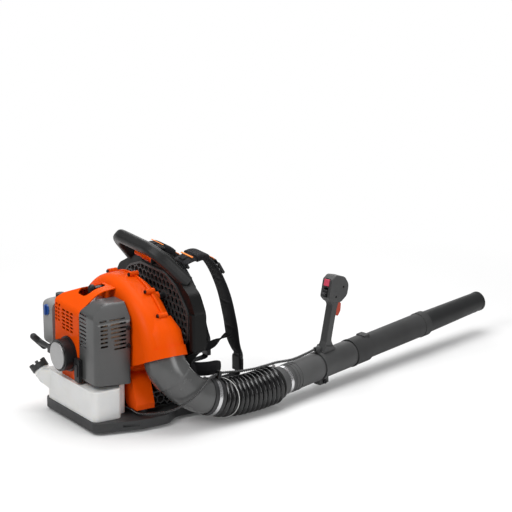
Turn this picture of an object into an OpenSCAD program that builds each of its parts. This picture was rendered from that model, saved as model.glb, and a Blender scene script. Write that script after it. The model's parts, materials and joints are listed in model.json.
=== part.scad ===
// Backpack leaf blower with a petrol engine, a flexible hose and a long blower tube.
// +X is the operator's forward, +Y the operator's left and +Z up, in millimetres.
// The origin is on the floor, under the middle of the machine.

/* [Base and frame] */
// Height of the rubber feet
foot_h = 8; // [6:1:12]
// Height of the base plate
base_h = 25; // [22:1:32]
// Half width of the base plate across its side lobes
base_half_w = 165; // [158:1:175]
// Half width of the base plate at its rear edge
base_rear_half_w = 134; // [126:1:138]
// Distance of the rear edge behind the origin
base_rear = 172; // [170:1:180]
// Distance of the front edge before the origin
base_front = 186; // [176:1:200]
// Half width of the upright back frame
frame_half_w = 208; // [204:1:216]
// Width of each side rail
rail_w = 34; // [28:1:40]
// Height of the frame's top edge
frame_top = 402; // [396:1:412]
// Depth of the frame, front to rear
frame_depth = 34; // [28:1:36]

/* [Grille] */
// Distance between neighbouring honeycomb cells
cell_pitch = 20; // [17:0.5:23]
// Wall between two honeycomb cells
cell_wall = 3; // [2:0.5:4]
// Thickness of the grille
grille_t = 5; // [3:0.5:6]

/* [Carry handle] */
// Length of the straight part of the handle bar
handle_bar = 124; // [110:2:130]
// Reach of the handle bar from the frame
handle_reach = 100; // [94:1:110]
// Width of the handle's section
handle_w = 30; // [26:1:34]
// Depth of the handle's section
handle_d = 34; // [28:1:38]

/* [Fan] */
// Height of the crankshaft above the floor
crank_z = 178; // [176:1:184]
// Largest radius of the fan
fan_r = 108; // [98:1:110]
// Number of fan blades
blade_count = 15; // [9:1:18]
// Wall of the fan housing
housing_wall = 3; // [2.5:0.5:4]
// Radius of the air intake
intake_r = 82; // [70:1:88]

/* [Outlet and hose] */
// Radius of the outlet duct outside
duct_r = 54; // [52:0.5:56]
// Outer radius of the hose ribs
hose_r = 52; // [50:0.5:53]
// Number of ribs along the hose
rib_count = 14; // [10:1:16]
// Length that the hose reaches forward
hose_reach = 234; // [224:1:250]
// Wall of the ducts and tubes
duct_wall = 2.5; // [2:0.5:3.5]

/* [Blower tube] */
// Outer radius of the first tube
tube_r = 34.4; // [33:0.2:36]
// Length of the first tube
tube_len = 292; // [284:1:310]
// Length of the middle tube
middle_len = 292; // [260:1:330]
// Length of the nozzle beyond the middle tube
nozzle_len = 240; // [200:1:280]
// Radius of the nozzle's tip
tip_r = 26.4; // [24:0.2:26.8]

/* [Control handle] */
// Height of the grip above the tube
grip_h = 171; // [165:1:185]
// Width of the grip from side to side
grip_w = 32; // [30:1:36]
// Forward lean of the grip in degrees
grip_lean = 16; // [8:1:20]

/* [Harness] */
// Thickness of the back pad
pad_t = 28; // [20:1:34]
// Width of a shoulder strap
strap_w = 66; // [56:1:72]
// Thickness of a shoulder strap
strap_t = 14; // [10:1:16]
// Distance of each shoulder strap from the middle
strap_y = 82; // [76:1:88]

/* [Hidden] */
$fn = 64;

// Colours
c_orange = [0.93, 0.29, 0.07];
c_dark = [0.20, 0.21, 0.22];
c_grey = [0.34, 0.35, 0.36];
c_black = [0.06, 0.06, 0.07];
c_steel = [0.75, 0.76, 0.78];
c_blue = [0.05, 0.22, 0.62];
c_white = [0.90, 0.92, 0.92];

// Clearances
soft_gap = 0.3;
// Longer than any cut through the machine
beyond = 400;
run_gap = 0.06;
move_gap = 0.4;

// Heights and planes that several pieces share
deck_z = foot_h + base_h;
frame_front = 118;
frame_rear = frame_front - frame_depth;
crank_y = 27;
housing_rear = -47;
housing_split = 20;
housing_front = 60;
cover_rear = -158;
shaft_r = 8;
foot_x = [-130, -60, 150];
damper_h = 14;
tank_top = 112;

// ---------- small functions ----------
function unit(v) = v / norm(v);

// Points of one rounded corner of an outline: a is before it, b is the corner, c is after it
function corner(a, b, c, r, n = 5) =
  let (u = unit(a - b), w = unit(c - b), half = acos(u * w) / 2,
       m = b + unit(u + w) * r / sin(half),
       s = b + u * r / tan(half) - m, e = b + w * r / tan(half) - m,
       a0 = atan2(s[1], s[0]), turn = (atan2(e[1], e[0]) - a0 + 540) % 360 - 180)
  [for (i = [0:n]) m + r * [cos(a0 + turn * i / n), sin(a0 + turn * i / n)]];

// Outline whose corners [x, y, radius] are rounded
function rounded(p) = [for (i = [0:len(p) - 1])
  let (a = p[(i + len(p) - 1) % len(p)], b = p[i], c = p[(i + 1) % len(p)])
  each (b[2] == 0 ? [[b[0], b[1]]]
    : corner([a[0], a[1]], [b[0], b[1]], [c[0], c[1]], b[2]))];

// Right half of a symmetrical outline, followed by its mirror image
function mirrored(p) = concat(p, [for (i = [len(p) - 1:-1:0]) [-p[i][0], p[i][1], p[i][2]]]);

// Point on a cubic curve
function bezier(p, t) = pow(1 - t, 3) * p[0] + 3 * t * pow(1 - t, 2) * p[1]
  + 3 * t * t * (1 - t) * p[2] + pow(t, 3) * p[3];

// Direction of a line of points at point i
function heading(p, i) = unit(p[min(i + 1, len(p) - 1)] - p[max(i - 1, 0)]);

// Smooth curve through hand-chosen points, n steps between neighbours
function smooth(p, n = 4) = [for (i = [0:len(p) - 2], k = [0:n - 1])
    let (a = p[i], b = p[i + 1],
         u = (b - p[max(i - 1, 0)]) / (i == 0 ? 3 : 6),
         w = (p[min(i + 2, len(p) - 1)] - a) / (i == len(p) - 2 ? 3 : 6))
    bezier([a, a + u, b - w, b], k / n), p[len(p) - 1]];

// ---------- small shapes ----------
module rrect(w, h, r) {
  square([w - 2 * r, h], center = true);
  square([w, h - 2 * r], center = true);
  for (x = [-1, 1], y = [-1, 1]) translate([x * (w / 2 - r), y * (h / 2 - r)]) circle(r);
}

// Extrudes a Y-Z outline along X
module along_x(x0, x1) {
  translate([x0, 0, 0]) rotate([90, 0, 90]) linear_extrude(x1 - x0) children();
}

// Extrudes an X-Z outline along Y
module along_y(y0, y1) {
  translate([0, y1, 0]) rotate([90, 0, 0]) linear_extrude(y1 - y0) children();
}

module x_rod(x0, x1, r) {
  translate([x0, 0, 0]) rotate([0, 90, 0]) cylinder(h = x1 - x0, r = r);
}

module y_rod(y0, y1, r) {
  translate([0, y0, 0]) rotate([-90, 0, 0]) cylinder(h = y1 - y0, r = r);
}

function shank(head_r) = head_r * 0.55;

// Socket-head screw with its head's top at the origin, pointing down -Z
module screw(head_r, head_h, length) {
  difference() {
    translate([0, 0, -head_h]) cylinder(h = head_h, r = head_r);
    translate([0, 0, -head_h / 2]) cylinder(h = head_h, r = head_r / 2, $fn = 6);
  }
  translate([0, 0, -length]) cylinder(h = length - head_h, r = shank(head_r));
}

// Tube of sides faces that follows a line of points
module cord(p, r, sides = 8) {
  rings = [for (i = [0:len(p) - 1])
    let (d = heading(p, i), a = unit(cross(d, [0.1, 0.3, 1])), b = cross(d, a))
    for (k = [0:sides - 1]) p[i] + r * (cos(360 * k / sides) * a + sin(360 * k / sides) * b)];
  last = (len(p) - 1) * sides;
  polyhedron(rings, concat(
    [[for (k = [0:sides - 1]) k]],
    [for (i = [0:len(p) - 2], k = [0:sides - 1])
      let (q = i * sides + k, n = i * sides + (k + 1) % sides)
      each [[q, q + sides, n], [n, q + sides, n + sides]]],
    [[for (k = [sides - 1:-1:0]) last + k]]));
}

// Band of constant thickness that follows an X-Z line of points
module band(p, t) {
  side = [for (i = [0:len(p) - 1]) let (d = heading(p, i)) [-d[1], d[0]] * t / 2];
  polygon(concat([for (i = [0:len(p) - 1]) p[i] + side[i]],
    [for (i = [len(p) - 1:-1:0]) p[i] - side[i]]));
}

// ---------- base and frame ----------
base_outline = mirrored([
  [-base_half_w + 35, -base_front, 22], [-base_half_w + 35, -70, 30],
  [-base_half_w, -30, 40], [-base_half_w, 52, 50], [-base_rear_half_w, base_rear, 24]]);

module base_shape(inset = 0) {
  rotate(90) shrunk(inset) polygon(rounded(base_outline));
}

// Shrinks an outline about its middle by the same amount on each side
module shrunk(inset) {
  scale(1 - inset / base_half_w) children();
}

module base_plate() {
  color(c_dark) difference() {
    translate([0, 0, foot_h]) linear_extrude(base_h) base_shape();
    translate([0, 0, foot_h - 1]) linear_extrude(base_h - 4) difference() {
      base_shape(8);
      for (x = [-110, -14, 70, 140]) translate([x, 0]) square([5, 400], center = true);
      for (y = [-70, 70]) translate([0, y]) square([500, 5], center = true);
      for (x = foot_x, y = [-1, 1]) translate([x, y * foot_y(x)]) circle(16);
      circle(16);
    }
    for (y = [-1, 1]) translate([-78, y * (base_half_w - 6), foot_h + 13])
      rotate([0, 0, y * 20]) cube([46, 8, 7], center = true);
  }
}

function foot_y(x) = x > 0 ? base_half_w - 60 : base_rear_half_w - 22;

module base_feet() {
  color(c_black) {
    for (x = foot_x, y = [-1, 1]) translate([x, y * foot_y(x), 0]) cylinder(h = foot_h, r1 = 11, r2 = 13);
    cylinder(h = foot_h, r1 = 11, r2 = 13);
  }
}

// The frame is narrow below, where the outlet duct passes beside it
waist_half_w = 130;
waist_top = 150;
shoulder_z = 206;
rail_in = frame_half_w - rail_w;

frame_outline = mirrored([
  [-waist_half_w + 4, deck_z, 0], [-waist_half_w, waist_top, 20],
  [-frame_half_w + 38, shoulder_z - 22, 20], [-frame_half_w, shoulder_z, 20],
  [-frame_half_w, 302, 40], [-frame_half_w + 30, 348, 40], [-118, frame_top - 22, 60],
  [-64, frame_top, 40]]);

frame_window = mirrored([
  [-waist_half_w + rail_w, deck_z + 40, 20], [-waist_half_w + rail_w, waist_top + 12, 20],
  [-rail_in, shoulder_z + 20, 20], [-rail_in, 296, 36], [-112, frame_top - 54, 50]]);

lever_pivot = [frame_rear - 9, 12, frame_top - 2];
lever_half = 22;
lever_pin_r = 3;

module back_frame() {
  color(c_dark) {
    along_x(frame_rear, frame_front) difference() {
      polygon(rounded(frame_outline));
      difference() {
        polygon(rounded(frame_window));
        for (y = [-60, 60]) translate([y, 200]) square([14, 500], center = true);
        translate([0, 205]) square([500, 12], center = true);
      }
    }
    // Ears and pin of the release lever
    translate(lever_pivot) {
      for (y = [-lever_half - 4 - move_gap, lever_half + move_gap])
        translate([-6, y, -8]) cube([16, 4, 15]);
      y_rod(-lever_half - 2, lever_half + 2, lever_pin_r);
    }
    // Deeper, rounded outer edge of each side rail
    for (y = [-1, 1]) translate([frame_rear + frame_depth / 2 - 4, y * (frame_half_w - 11), shoulder_z])
      linear_extrude(96) rrect(frame_depth + 8, 22, 9);
  }
}

grille_top = frame_top - 20;
grille_lap = 6;

// Outline of the grille, smaller all round by the rim
function grille_edge(rim) = rounded(mirrored([
  [-waist_half_w + rail_w - grille_lap + rim, deck_z + rim, 0],
  [-waist_half_w + rail_w - grille_lap + rim, waist_top + 16 + rim / 2, 20],
  [-rail_in - grille_lap + rim, shoulder_z + 22 + rim / 2, 20],
  [-rail_in - grille_lap + rim, 300, 36],
  [-118, grille_top - 22 - rim, 50], [-60, grille_top - rim, 30]]));

// Hexagons that fill a rectangle, centred on the origin
module cells(w, h, r) {
  row = cell_pitch * sqrt(3) / 2;
  for (j = [-ceil(h / row / 2):ceil(h / row / 2)], i = [-ceil(w / cell_pitch / 2):ceil(w / cell_pitch / 2)])
    translate([(i + (j % 2 == 0 ? 0 : 0.5)) * cell_pitch, j * row]) rotate(30) circle(r, $fn = 6);
}

cell_r = (cell_pitch - cell_wall) / sqrt(3);
screen_y = waist_half_w - rail_w + grille_lap - 2;
intake_ring = 104;

module intake_grille() {
  color(c_dark) {
    along_x(frame_rear - grille_t, frame_rear) {
      difference() {
        polygon(grille_edge(0));
        translate([crank_y, crank_z]) circle(intake_ring);
        intersection() {
          translate([0, 215]) cells(2 * rail_in, 380, cell_r);
          grille_field(6);
        }
        for (p = damper_at) translate(p) circle(damper_r + soft_gap);
      }
    }
    // Low screens beside the housing's feet
    for (p = [[-screen_y, 45], [screen_y, 15]]) along_y(p[0] - 1.5, p[0] + 1.5) difference() {
      translate([9, deck_z]) square([frame_rear - 9, p[1]]);
      intersection() {
        translate([42, deck_z + 22]) cells(80, 60, cell_r);
        translate([14, deck_z + 5]) square([frame_rear - grille_t - 19, p[1] - 9]);
      }
    }
  }
}

// Where the grille is pierced: a plain rim stays round its edge and round the intake
module grille_field(rim) {
  difference() {
    polygon(grille_edge(rim));
    translate([crank_y, crank_z]) circle(intake_ring + rim);
    for (p = damper_at) translate(p) circle(damper_r + rim);
  }
}

// ---------- carry handle ----------
handle_tilt = 42;
handle_foot = [frame_rear + 13, 0, frame_top - 22];
handle_corner_r = 52;
handle_turn = 75;
handle_leg = 78;

module handle_frame() {
  translate(handle_foot) rotate([0, -handle_tilt, 0]) children();
}

module handle_section() {
  rrect(handle_w, handle_d, 12);
}

module carry_handle() {
  color(c_dark) difference() {
    handle_frame() {
      translate([0, handle_bar / 2, handle_reach]) rotate([90, 0, 0])
        linear_extrude(handle_bar) rotate(90) handle_section();
      for (s = [0, 1]) mirror([0, s, 0])
        translate([0, handle_bar / 2, handle_reach - handle_corner_r]) rotate([90, 0, 90])
          rotate(90 - handle_turn) {
            rotate_extrude(angle = handle_turn) translate([handle_corner_r, 0]) handle_section();
            translate([handle_corner_r, 0, 0]) rotate([90, 0, 0])
              linear_extrude(handle_leg) handle_section();
          }
    }
    // The feet end on the frame's shoulders
    along_x(frame_rear, frame_front + 60) polygon(rounded(frame_outline));
  }
}

module release_lever() {
  color(c_orange) translate(lever_pivot) difference() {
    union() {
      y_rod(-lever_half, lever_half, 6);
      rotate([0, -52, 0]) translate([-3, -16, 2]) cube([6, 32, 26]);
      rotate([0, -52, 0]) translate([0, 0, 30]) y_rod(-19, 19, 7);
    }
    y_rod(-lever_half - 1, lever_half + 1, lever_pin_r + run_gap);
  }
}

av_y = [-112, 132];
foot_z = deck_z + damper_h;
foot_mid = (av_y[0] + av_y[1]) / 2;

// Upper dampers between the housing and the frame, [y, z]
damper_at = [[-60, 320], [60, 320]];
damper_r = 9;

module av_mounts() {
  color(c_black) {
    for (y = av_y) translate([-20, y, deck_z]) cylinder(h = damper_h, r = 13);
    for (p = damper_at) x_rod_at(housing_front, frame_rear, p[0], p[1], damper_r);
  }
}

module x_rod_at(x0, x1, y, z, r) {
  translate([0, y, z]) x_rod(x0, x1, r);
}

// ---------- fan housing ----------
// The scroll is four quarter rings, [centre y, centre z, radius], from the outlet over the top
scroll = [[12, 150, 222], [12, 192, 180], [42, 192, 150], [42, 178, 136]];
scroll_round = 34;
scroll_front_round = 52;
scroll_top_z = scroll[0][1] + scroll[0][2];
outlet_at = [16, -166, 186];
outlet_tilt = 23.5;
duct_h = 66;

// Profile of one quarter, from the middle outwards, with rounded outer edges: e at the rear, f in front
module scroll_profile(r, x0, x1, e, f) {
  translate([0, x0]) square([r - f, x1 - x0]);
  translate([0, x0]) square([r - e, x1 - x0 - f]);
  if (x1 - f > x0 + e) translate([0, x0 + e]) square([r, x1 - x0 - e - f]);
  translate([r - e, x0 + e]) circle(e);
  translate([r - f, x1 - f]) circle(f);
}

// Solid scroll, smaller all round by the inset
module scroll_body(inset) {
  for (q = [0:3]) translate([0, scroll[q][0], scroll[q][1]]) rotate([90, 0, 90]) rotate(90 - 90 * q)
    rotate_extrude(angle = 90) scroll_profile(scroll[q][2] - inset, housing_rear + inset,
      housing_front - inset, scroll_round - inset, scroll_front_round - inset);
}

module outlet_frame() {
  translate(outlet_at) rotate([-outlet_tilt, 0, 0]) children();
}

// Everything under the outlet's lower edge, raised by a wall
module below_outlet(wall) {
  outlet_frame() translate([-80, -80, wall - 70]) cube([160, 158 + wall, 70]);
}

module housing_outer() {
  difference() {
    scroll_body(0);
    below_outlet(0);
  }
  outlet_frame() {
    cylinder(h = duct_h, r = duct_r + 4);
    translate([0, 0, duct_h]) cylinder(h = 40, r1 = duct_r + 4, r2 = duct_r - 14);
    cylinder(h = 26, r = duct_r + 7.5);
  }
}

module housing_cavity() {
  difference() {
    scroll_body(housing_wall);
    below_outlet(housing_wall);
  }
  outlet_frame() {
    translate([0, 0, -1]) cylinder(h = duct_h + 1, r = duct_r);
    translate([0, 0, duct_h]) cylinder(h = 40, r1 = duct_r, r2 = duct_r - 20);
  }
}

boss_angles = [28, 62, 96, 118, 138, -8, -44];

// Place [0, y, z] of a boss on the outline of the scroll, at an angle from +Y
function boss_at(a) = let (q = scroll[a > 90 ? 0 : a > 0 ? 1 : 2], r = q[2] + 5)
  [0, q[0] + r * cos(a), q[1] + r * sin(a)];

module scroll_bosses(x0, x1, r) {
  for (a = boss_angles) translate(boss_at(a)) x_rod(x0, x1, r);
}

module seam_rib(x0, x1) {
  difference() {
    for (q = [0:3]) translate([0, scroll[q][0], scroll[q][1]]) rotate([90, 0, 90]) rotate(90 - 90 * q)
      rotate_extrude(angle = 90) translate([scroll[q][2] - 12, x0]) square([15, x1 - x0]);
    below_outlet(0);
  }
}

module half_space(x0, x1) {
  translate([x0, -beyond, -beyond]) cube([x1 - x0, 2 * beyond, 3 * beyond]);
}

module fan_housing_rear() {
  color(c_orange) difference() {
    union() {
      intersection() {
        housing_outer();
        half_space(-200, housing_split);
      }
      seam_rib(housing_split - 3, housing_split);
      scroll_bosses(housing_split - 16, housing_split, 7);
      // Feet on the rubber dampers
      along_x(housing_rear, 6) for (s = [0, 1]) translate([s * 2 * foot_mid, 0]) mirror([s, 0])
        polygon(rounded([[av_y[0] - 20, foot_z, 0], [av_y[0] - 20, foot_z + 14, 8],
          [av_y[0] + 8, foot_z + 92, 40], [av_y[0] + 60, foot_z + 92, 0], [av_y[0] + 34, foot_z, 20]]));
    }
    housing_cavity();
    x_rod_at(housing_rear - 1, housing_rear + 10, crank_y, crank_z, shaft_r + 3);
    scroll_bosses(housing_split - 17, housing_split + 1, 2.5);
    // Room for the screw heads where the wall bulges
    scroll_bosses(housing_split - 16 - 4, housing_split - 16, 5);
  }
}

module fan_housing_front() {
  color(c_orange) difference() {
    union() {
      intersection() {
        housing_outer();
        half_space(housing_split, 200);
      }
      seam_rib(housing_split, housing_split + 3);
      // Flat seats of the upper dampers
      for (p = damper_at) x_rod_at(housing_front - 14, housing_front, p[0], p[1], damper_r + 4);
      scroll_bosses(housing_split, housing_split + 9, 7);
    }
    housing_cavity();
    x_rod_at(housing_front - 10, housing_front + 1, crank_y, crank_z, intake_r);
    scroll_bosses(housing_split - 1, housing_split + 10, 2.5);
  }
}

module housing_screws() {
  color(c_black) for (a = boss_angles)
    translate(boss_at(a) + [housing_split - 16 - 3.5, 0, 0]) rotate([0, -90, 0]) screw(4.5, 3.5, 22);
}

// ---------- rotor ----------
fan_rear = housing_rear + 14;
blade_h = 62;
blade_in = intake_r - 14;

module rotor_frame() {
  translate([0, crank_y, crank_z]) rotate([0, 90, 0]) children();
}

module fan_impeller() {
  bend_r = (fan_r - blade_in) * 1.35;
  color(c_grey) rotor_frame() translate([0, 0, fan_rear]) difference() {
    union() {
      cylinder(h = 3, r = fan_r);
      cylinder(h = 34, r = 20);
      intersection() {
        cylinder(h = blade_h, r = fan_r);
        for (i = [0:blade_count - 1]) rotate(360 * i / blade_count)
          translate([blade_in, -bend_r, 0]) rotate_extrude(angle = 90)
            translate([bend_r - 2.4, 0]) square([2.4, blade_h]);
      }
    }
    translate([0, 0, -1]) cylinder(h = 60, r = shaft_r);
  }
}

module crankshaft() {
  color(c_steel) rotor_frame() {
    translate([0, 0, -151]) cylinder(h = 151 + fan_rear + 34, r = shaft_r);
    translate([0, 0, fan_rear + 34]) cylinder(h = 7, r = 13, $fn = 6);
  }
}

module flywheel() {
  color(c_steel) rotor_frame() translate([0, 0, -146]) difference() {
    union() {
      cylinder(h = 12, r = 40);
      cylinder(h = 20, r = 18);
      for (i = [0:11]) rotate(30 * i) translate([22, -1.5, 0]) cube([17, 3, 19]);
    }
    translate([0, 0, -1]) cylinder(h = 40, r = shaft_r);
  }
}

// ---------- engine ----------
case_rear = -116;
cylinder_x = -86;
leg_r = 50;
leg_angles = [30, 180, 330];
cylinder_r = 30;
fin_half = 38;

module crankcase() {
  color(c_steel) rotor_frame() difference() {
    union() {
      translate([0, 0, case_rear]) cylinder(h = -42 - case_rear - 12, r = 40);
      translate([0, 0, -56]) cylinder(h = 56 + housing_rear, r = 26);
      for (a = leg_angles) translate([-leg_r * sin(a), leg_r * cos(a), case_rear])
        cylinder(h = 14, r = 8);
      for (a = leg_angles) translate([-leg_r * sin(a) * 0.7, leg_r * cos(a) * 0.7, case_rear])
        cylinder(h = 14, r = 12);
      for (a = [45:90:315]) rotate(a) translate([36, 0, -70]) cylinder(h = 70 + housing_rear, r = 8);
    }
    translate([0, 0, case_rear - 1]) cylinder(h = 90, r = shaft_r + run_gap);
  }
}

module engine_cylinder() {
  base_z = crank_z + 38;
  color(c_steel) translate([cylinder_x, crank_y, 0]) difference() {
    union() {
      translate([0, 0, base_z]) cylinder(h = 96, r = cylinder_r);
      for (i = [0:9]) translate([0, 0, base_z + 20 + i * 8]) linear_extrude(2.4)
        rrect(2 * fin_half, 2 * fin_half, 10);
      translate([-18, -fin_half - 4, base_z + 24]) cube([36, 24, 34]);
      translate([-18, fin_half - 20, base_z + 24]) cube([36, 24, 34]);
    }
    translate([0, 0, crank_z]) rotate([0, 90, 0])
      cylinder(h = 200, r = 40, center = true);
  }
}

plug_z = crank_z + 38 + 96;

module spark_plug() {
  color(c_white) translate([cylinder_x, crank_y, plug_z]) {
    cylinder(h = 7, r = 10, $fn = 6);
    translate([0, 0, 7]) cylinder(h = 13, r = 5);
  }
}

module plug_boot() {
  color(c_black) translate([cylinder_x, crank_y, plug_z + 7.3]) difference() {
    union() {
      cylinder(h = 24, r = 10);
      translate([-8, -7, 12]) cube([46, 14, 14]);
      translate([0, 0, 24]) sphere(10);
    }
    translate([0, 0, -1]) cylinder(h = 14, r = 5.3);
  }
}

muffler_x = [-128, -62];
muffler_y = [-98, -34];

module muffler() {
  port_z = crank_z + 79;
  color([0.48, 0.40, 0.33]) {
    difference() {
      translate([(muffler_x[0] + muffler_x[1]) / 2, (muffler_y[0] + muffler_y[1]) / 2, 206])
        linear_extrude(92) rrect(muffler_x[1] - muffler_x[0], muffler_y[1] - muffler_y[0], 14);
      for (z = [222:16:286]) translate([0, muffler_y[0], z])
        rotate([0, 90, 0]) cylinder(h = beyond, r = 2, center = true);
    }
    translate([cylinder_x - 12, muffler_y[1], port_z - 10])
      cube([24, crank_y - fin_half - 4 - muffler_y[1], 20]);
  }
}

// ---------- muffler cover ----------
mc_x = [cover_rear + 1, -51];
mc_y = [-115, -30];
mc_bottom = 118;
mc_top = 331;

module muffler_cover_shape(inset) {
  x0 = mc_x[0] + inset;
  x1 = mc_x[1] - inset;
  y0 = mc_y[0] + inset;
  intersection() {
    translate([0, 0, 50]) linear_extrude(400) polygon(rounded([
      [x0, y0, 14 - inset], [x1, y0, 8 - inset], [x1, mc_y[1] - soft_gap, 0],
      [x0, mc_y[1] - soft_gap, 0]]));
    along_y(mc_y[0] - 1, mc_y[1] + 2) polygon(rounded([
      [x0, mc_bottom + 9, 0], [x0, mc_top - 24 - inset, 16], [x1 - 60, mc_top - inset, 60],
      [x1, mc_top - 1 - inset, 0], [x1, mc_bottom, 0]]));
    along_x(mc_x[0] - 1, mc_x[1] + 1) polygon(rounded([
      [y0, mc_bottom - 10, 0], [y0, mc_top - 42 - inset, 22], [y0 + 42, mc_top + 6 - inset, 40],
      [mc_y[1] - soft_gap, mc_top + 8 - inset, 0], [mc_y[1] - soft_gap, mc_bottom - 10, 0]]));
  }
}

module muffler_cover() {
  color(c_grey) difference() {
    muffler_cover_shape(0);
    muffler_cover_inside();
    for (p = cover_screw_at) translate([p[0], mc_y[0], p[1]]) y_rod(-1, 12, shank(6) + run_gap);
    // Slots at the side and at the rear
    for (i = [0:8]) translate([i < 3 ? -84 : -89, mc_y[0], 219 + 11 * i]) slot_y(i < 3 ? 36 : 46, 5.2);
    for (i = [1:7]) translate([-131, mc_y[0], 219 + 11 * i]) slot_y(22, 5.2);
    for (i = [0:8]) translate([mc_x[0], -50, 219 + 10.5 * i]) rotate([0, 0, 90]) slot_y(34, 5);
    // Cooling slots under the recessed panel edge
    translate([mc_x[0] - 1, -62, mc_bottom + 16]) cube([2.2, 26, 60]);
  }
}

module slot_y(length, height) {
  rotate([90, 0, 0]) linear_extrude(20, center = true) rrect(length, height, height / 2 - 0.1);
}

module muffler_cover_inside() {
  intersection() {
    muffler_cover_shape(2.5);
    translate([-beyond, mc_y[0] - 10, mc_bottom + 12]) cube([2 * beyond, beyond, beyond]);
  }
}

cover_screw_at = [[-60, 270], [-60, 222]];

module cover_screws() {
  color(c_black) for (p = cover_screw_at)
    translate([p[0], mc_y[0] - 3.5, p[1]]) rotate([90, 0, 0]) screw(6, 3.5, 14);
}

// ---------- engine cover ----------
ec_y = [mc_y[1], 108];
ec_low = tank_top + 2;

module engine_cover_shape(inset) {
  x0 = cover_rear + inset;
  y0 = ec_y[0];
  y1 = ec_y[1] - inset;
  intersection() {
    along_y(y0, y1) polygon(rounded([
      [x0, ec_low, 0], [x0, 300 - inset, 26], [-96, 348 - inset, 80],
      [housing_rear, 352 - inset, 0], [housing_rear, ec_low, 0]]));
    along_x(cover_rear - 1, housing_rear) polygon(rounded([
      [y0, ec_low, 0], [y0, 356 - inset, 0], [20, 356 - inset, 40],
      [y1, 316 - inset, 26], [y1, ec_low, 0]]));
    translate([0, 0, 50]) linear_extrude(400) polygon(rounded([
      [x0, y0, 0], [housing_rear, y0, 0], [housing_rear, y1, 0], [x0, y1, 16 - inset]]));
  }
}

module engine_cover() {
  color(c_orange) difference() {
    engine_cover_shape(0);
    intersection() {
      engine_cover_shape(3);
      translate([-beyond, ec_y[0] - 2, 60]) cube([2 * beyond, beyond, beyond]);
    }
    // Inner side stays open towards the muffler
    translate([cover_rear + 3, ec_y[0] - 5, 60]) cube([beyond, 8, beyond]);
    // Left side stops above the starter and the filter
    translate([cover_rear - 5, 62, ec_low - 20]) cube([beyond, 100, 100]);
    // Opening for the spark plug's boot
    translate([cylinder_x, crank_y, 300]) linear_extrude(100) rrect(64, 48, 14);
    // Round the starter
    x_rod_at(cover_rear - 5, cover_rear + 20, crank_y, crank_z, 47);
    // Louvres
    for (i = [0:2], j = [0:7]) translate([cover_rear, 10 + i * 20.5, 222 + j * 9.6])
      if (norm([10 + i * 20.5 - crank_y, 222 + j * 9.6 - crank_z]) > 60) rotate([0, 0, 90]) slot_y(17, 6);
    for (j = [0:4]) for (i = [0:1]) translate([cover_rear, 76 + i * 14, 256 + j * 10])
      rotate([0, 0, 90]) slot_y(10.5, 6);
  }
}

// ---------- intake side ----------
module carburettor() {
  face = crank_y + fin_half + 4;
  color(c_steel) {
    translate([cylinder_x, 0, crank_z + 79]) {
      translate([-17, face, -17]) cube([34, 10, 34]);
      translate([-15, face + 10, -21]) cube([30, 22, 42]);
    }
  }
}

filter_y = 158;
choke_at = [-158, 137, 268];
choke_r = 14;
knob_z = 299;

module air_filter_cover() {
  color(c_grey) difference() {
    union() {
      intersection() {
        along_y(ec_y[1] + soft_gap, filter_y) polygon(rounded([
          [-158, 172, 14], [-160, 292, 18], [-84, 300, 18], [-76, 172, 14]]));
        along_x(-170, -60) polygon(rounded([
          [ec_y[1] - 1, 160, 0], [ec_y[1] - 1, 310, 0], [filter_y, 292, 16], [filter_y, 172, 20]]));
      }
      translate([-120, 132, 280]) cylinder(h = knob_z - soft_gap - 280, r = 13);
    }
    // Seat of the choke lever
    translate(choke_at) x_rod(-20, 6, choke_r + move_gap);
  }
}

module filter_knob() {
  color(c_dark) translate([-120, 132, knob_z]) {
    cylinder(h = 9, r = 12);
    for (a = [0:60:300]) rotate(a) translate([12, 0, 0]) cylinder(h = 8, r = 3);
  }
}

module choke_lever() {
  color(c_blue) translate(choke_at) {
    x_rod(-4, 5.7, choke_r);
    translate([-9, -4, -choke_r + 1]) cube([6, 8, 2 * choke_r - 2]);
  }
}

// ---------- starter ----------
starter_x = -193;

module starter_housing() {
  color(c_black) difference() {
    union() {
      x_rod_at(starter_x + 5, cover_rear + 4, crank_y, crank_z, 42);
      x_rod_at(cover_rear - 4, cover_rear + 9, crank_y, crank_z, 46);
      x_rod_at(cover_rear + 3 + soft_gap, cover_rear + 9, crank_y, crank_z, 56);
      // Rope outlet
      translate([starter_x + 9, crank_y, crank_z - 10]) cube([22, 66, 22]);
      for (a = leg_angles) x_rod_at(cover_rear + 6, case_rear, crank_y + leg_r * cos(a),
        crank_z + leg_r * sin(a), 6);
    }
    x_rod_at(starter_x + 12, cover_rear + 10, crank_y, crank_z, 38);
    translate([rope_x, crank_y, crank_z + 1]) y_rod(20, 100, 3);
  }
}

module starter_disc() {
  color(c_steel) {
    x_rod_at(starter_x, starter_x + 5, crank_y, crank_z, 36);
  }
}

handle_y = crank_y + 66 + soft_gap;

rope_x = starter_x + 18;
bar_y = 62;

module starter_handle() {
  color(c_dark) translate([rope_x, handle_y, crank_z + 1]) {
    difference() {
      union() {
        rotate([-90, 0, 0]) cylinder(h = bar_y - 6, r1 = 6, r2 = 8);
        translate([0, bar_y, 0]) rotate([0, -45, 0]) {
          translate([0, 0, -22]) cylinder(h = 44, r = 9);
          for (z = [-22, 22]) translate([0, 0, z]) sphere(9);
        }
      }
      y_rod(-1, 30, 2.6);
    }
  }
}

module starter_rope() {
  color(c_white) cord([for (y = [0:9:54]) [rope_x, crank_y + 42 + y, crank_z + 1]], 1.8);
}

module connector_box() {
  color(c_black) translate([cover_rear, -32, 150]) rotate([0, -90, 0]) {
    linear_extrude(10) rrect(64, 25, 5);
    linear_extrude(13) rrect(34, 15, 4);
  }
}

// ---------- fuel tank ----------
cap_at = [-172, 160, 108];
tank_rear = -168;
tank_side = 122;
tank_left = 134;
tank_corner = 22;
cap_tilt = 44;
cap_azimuth = 111;

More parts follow.
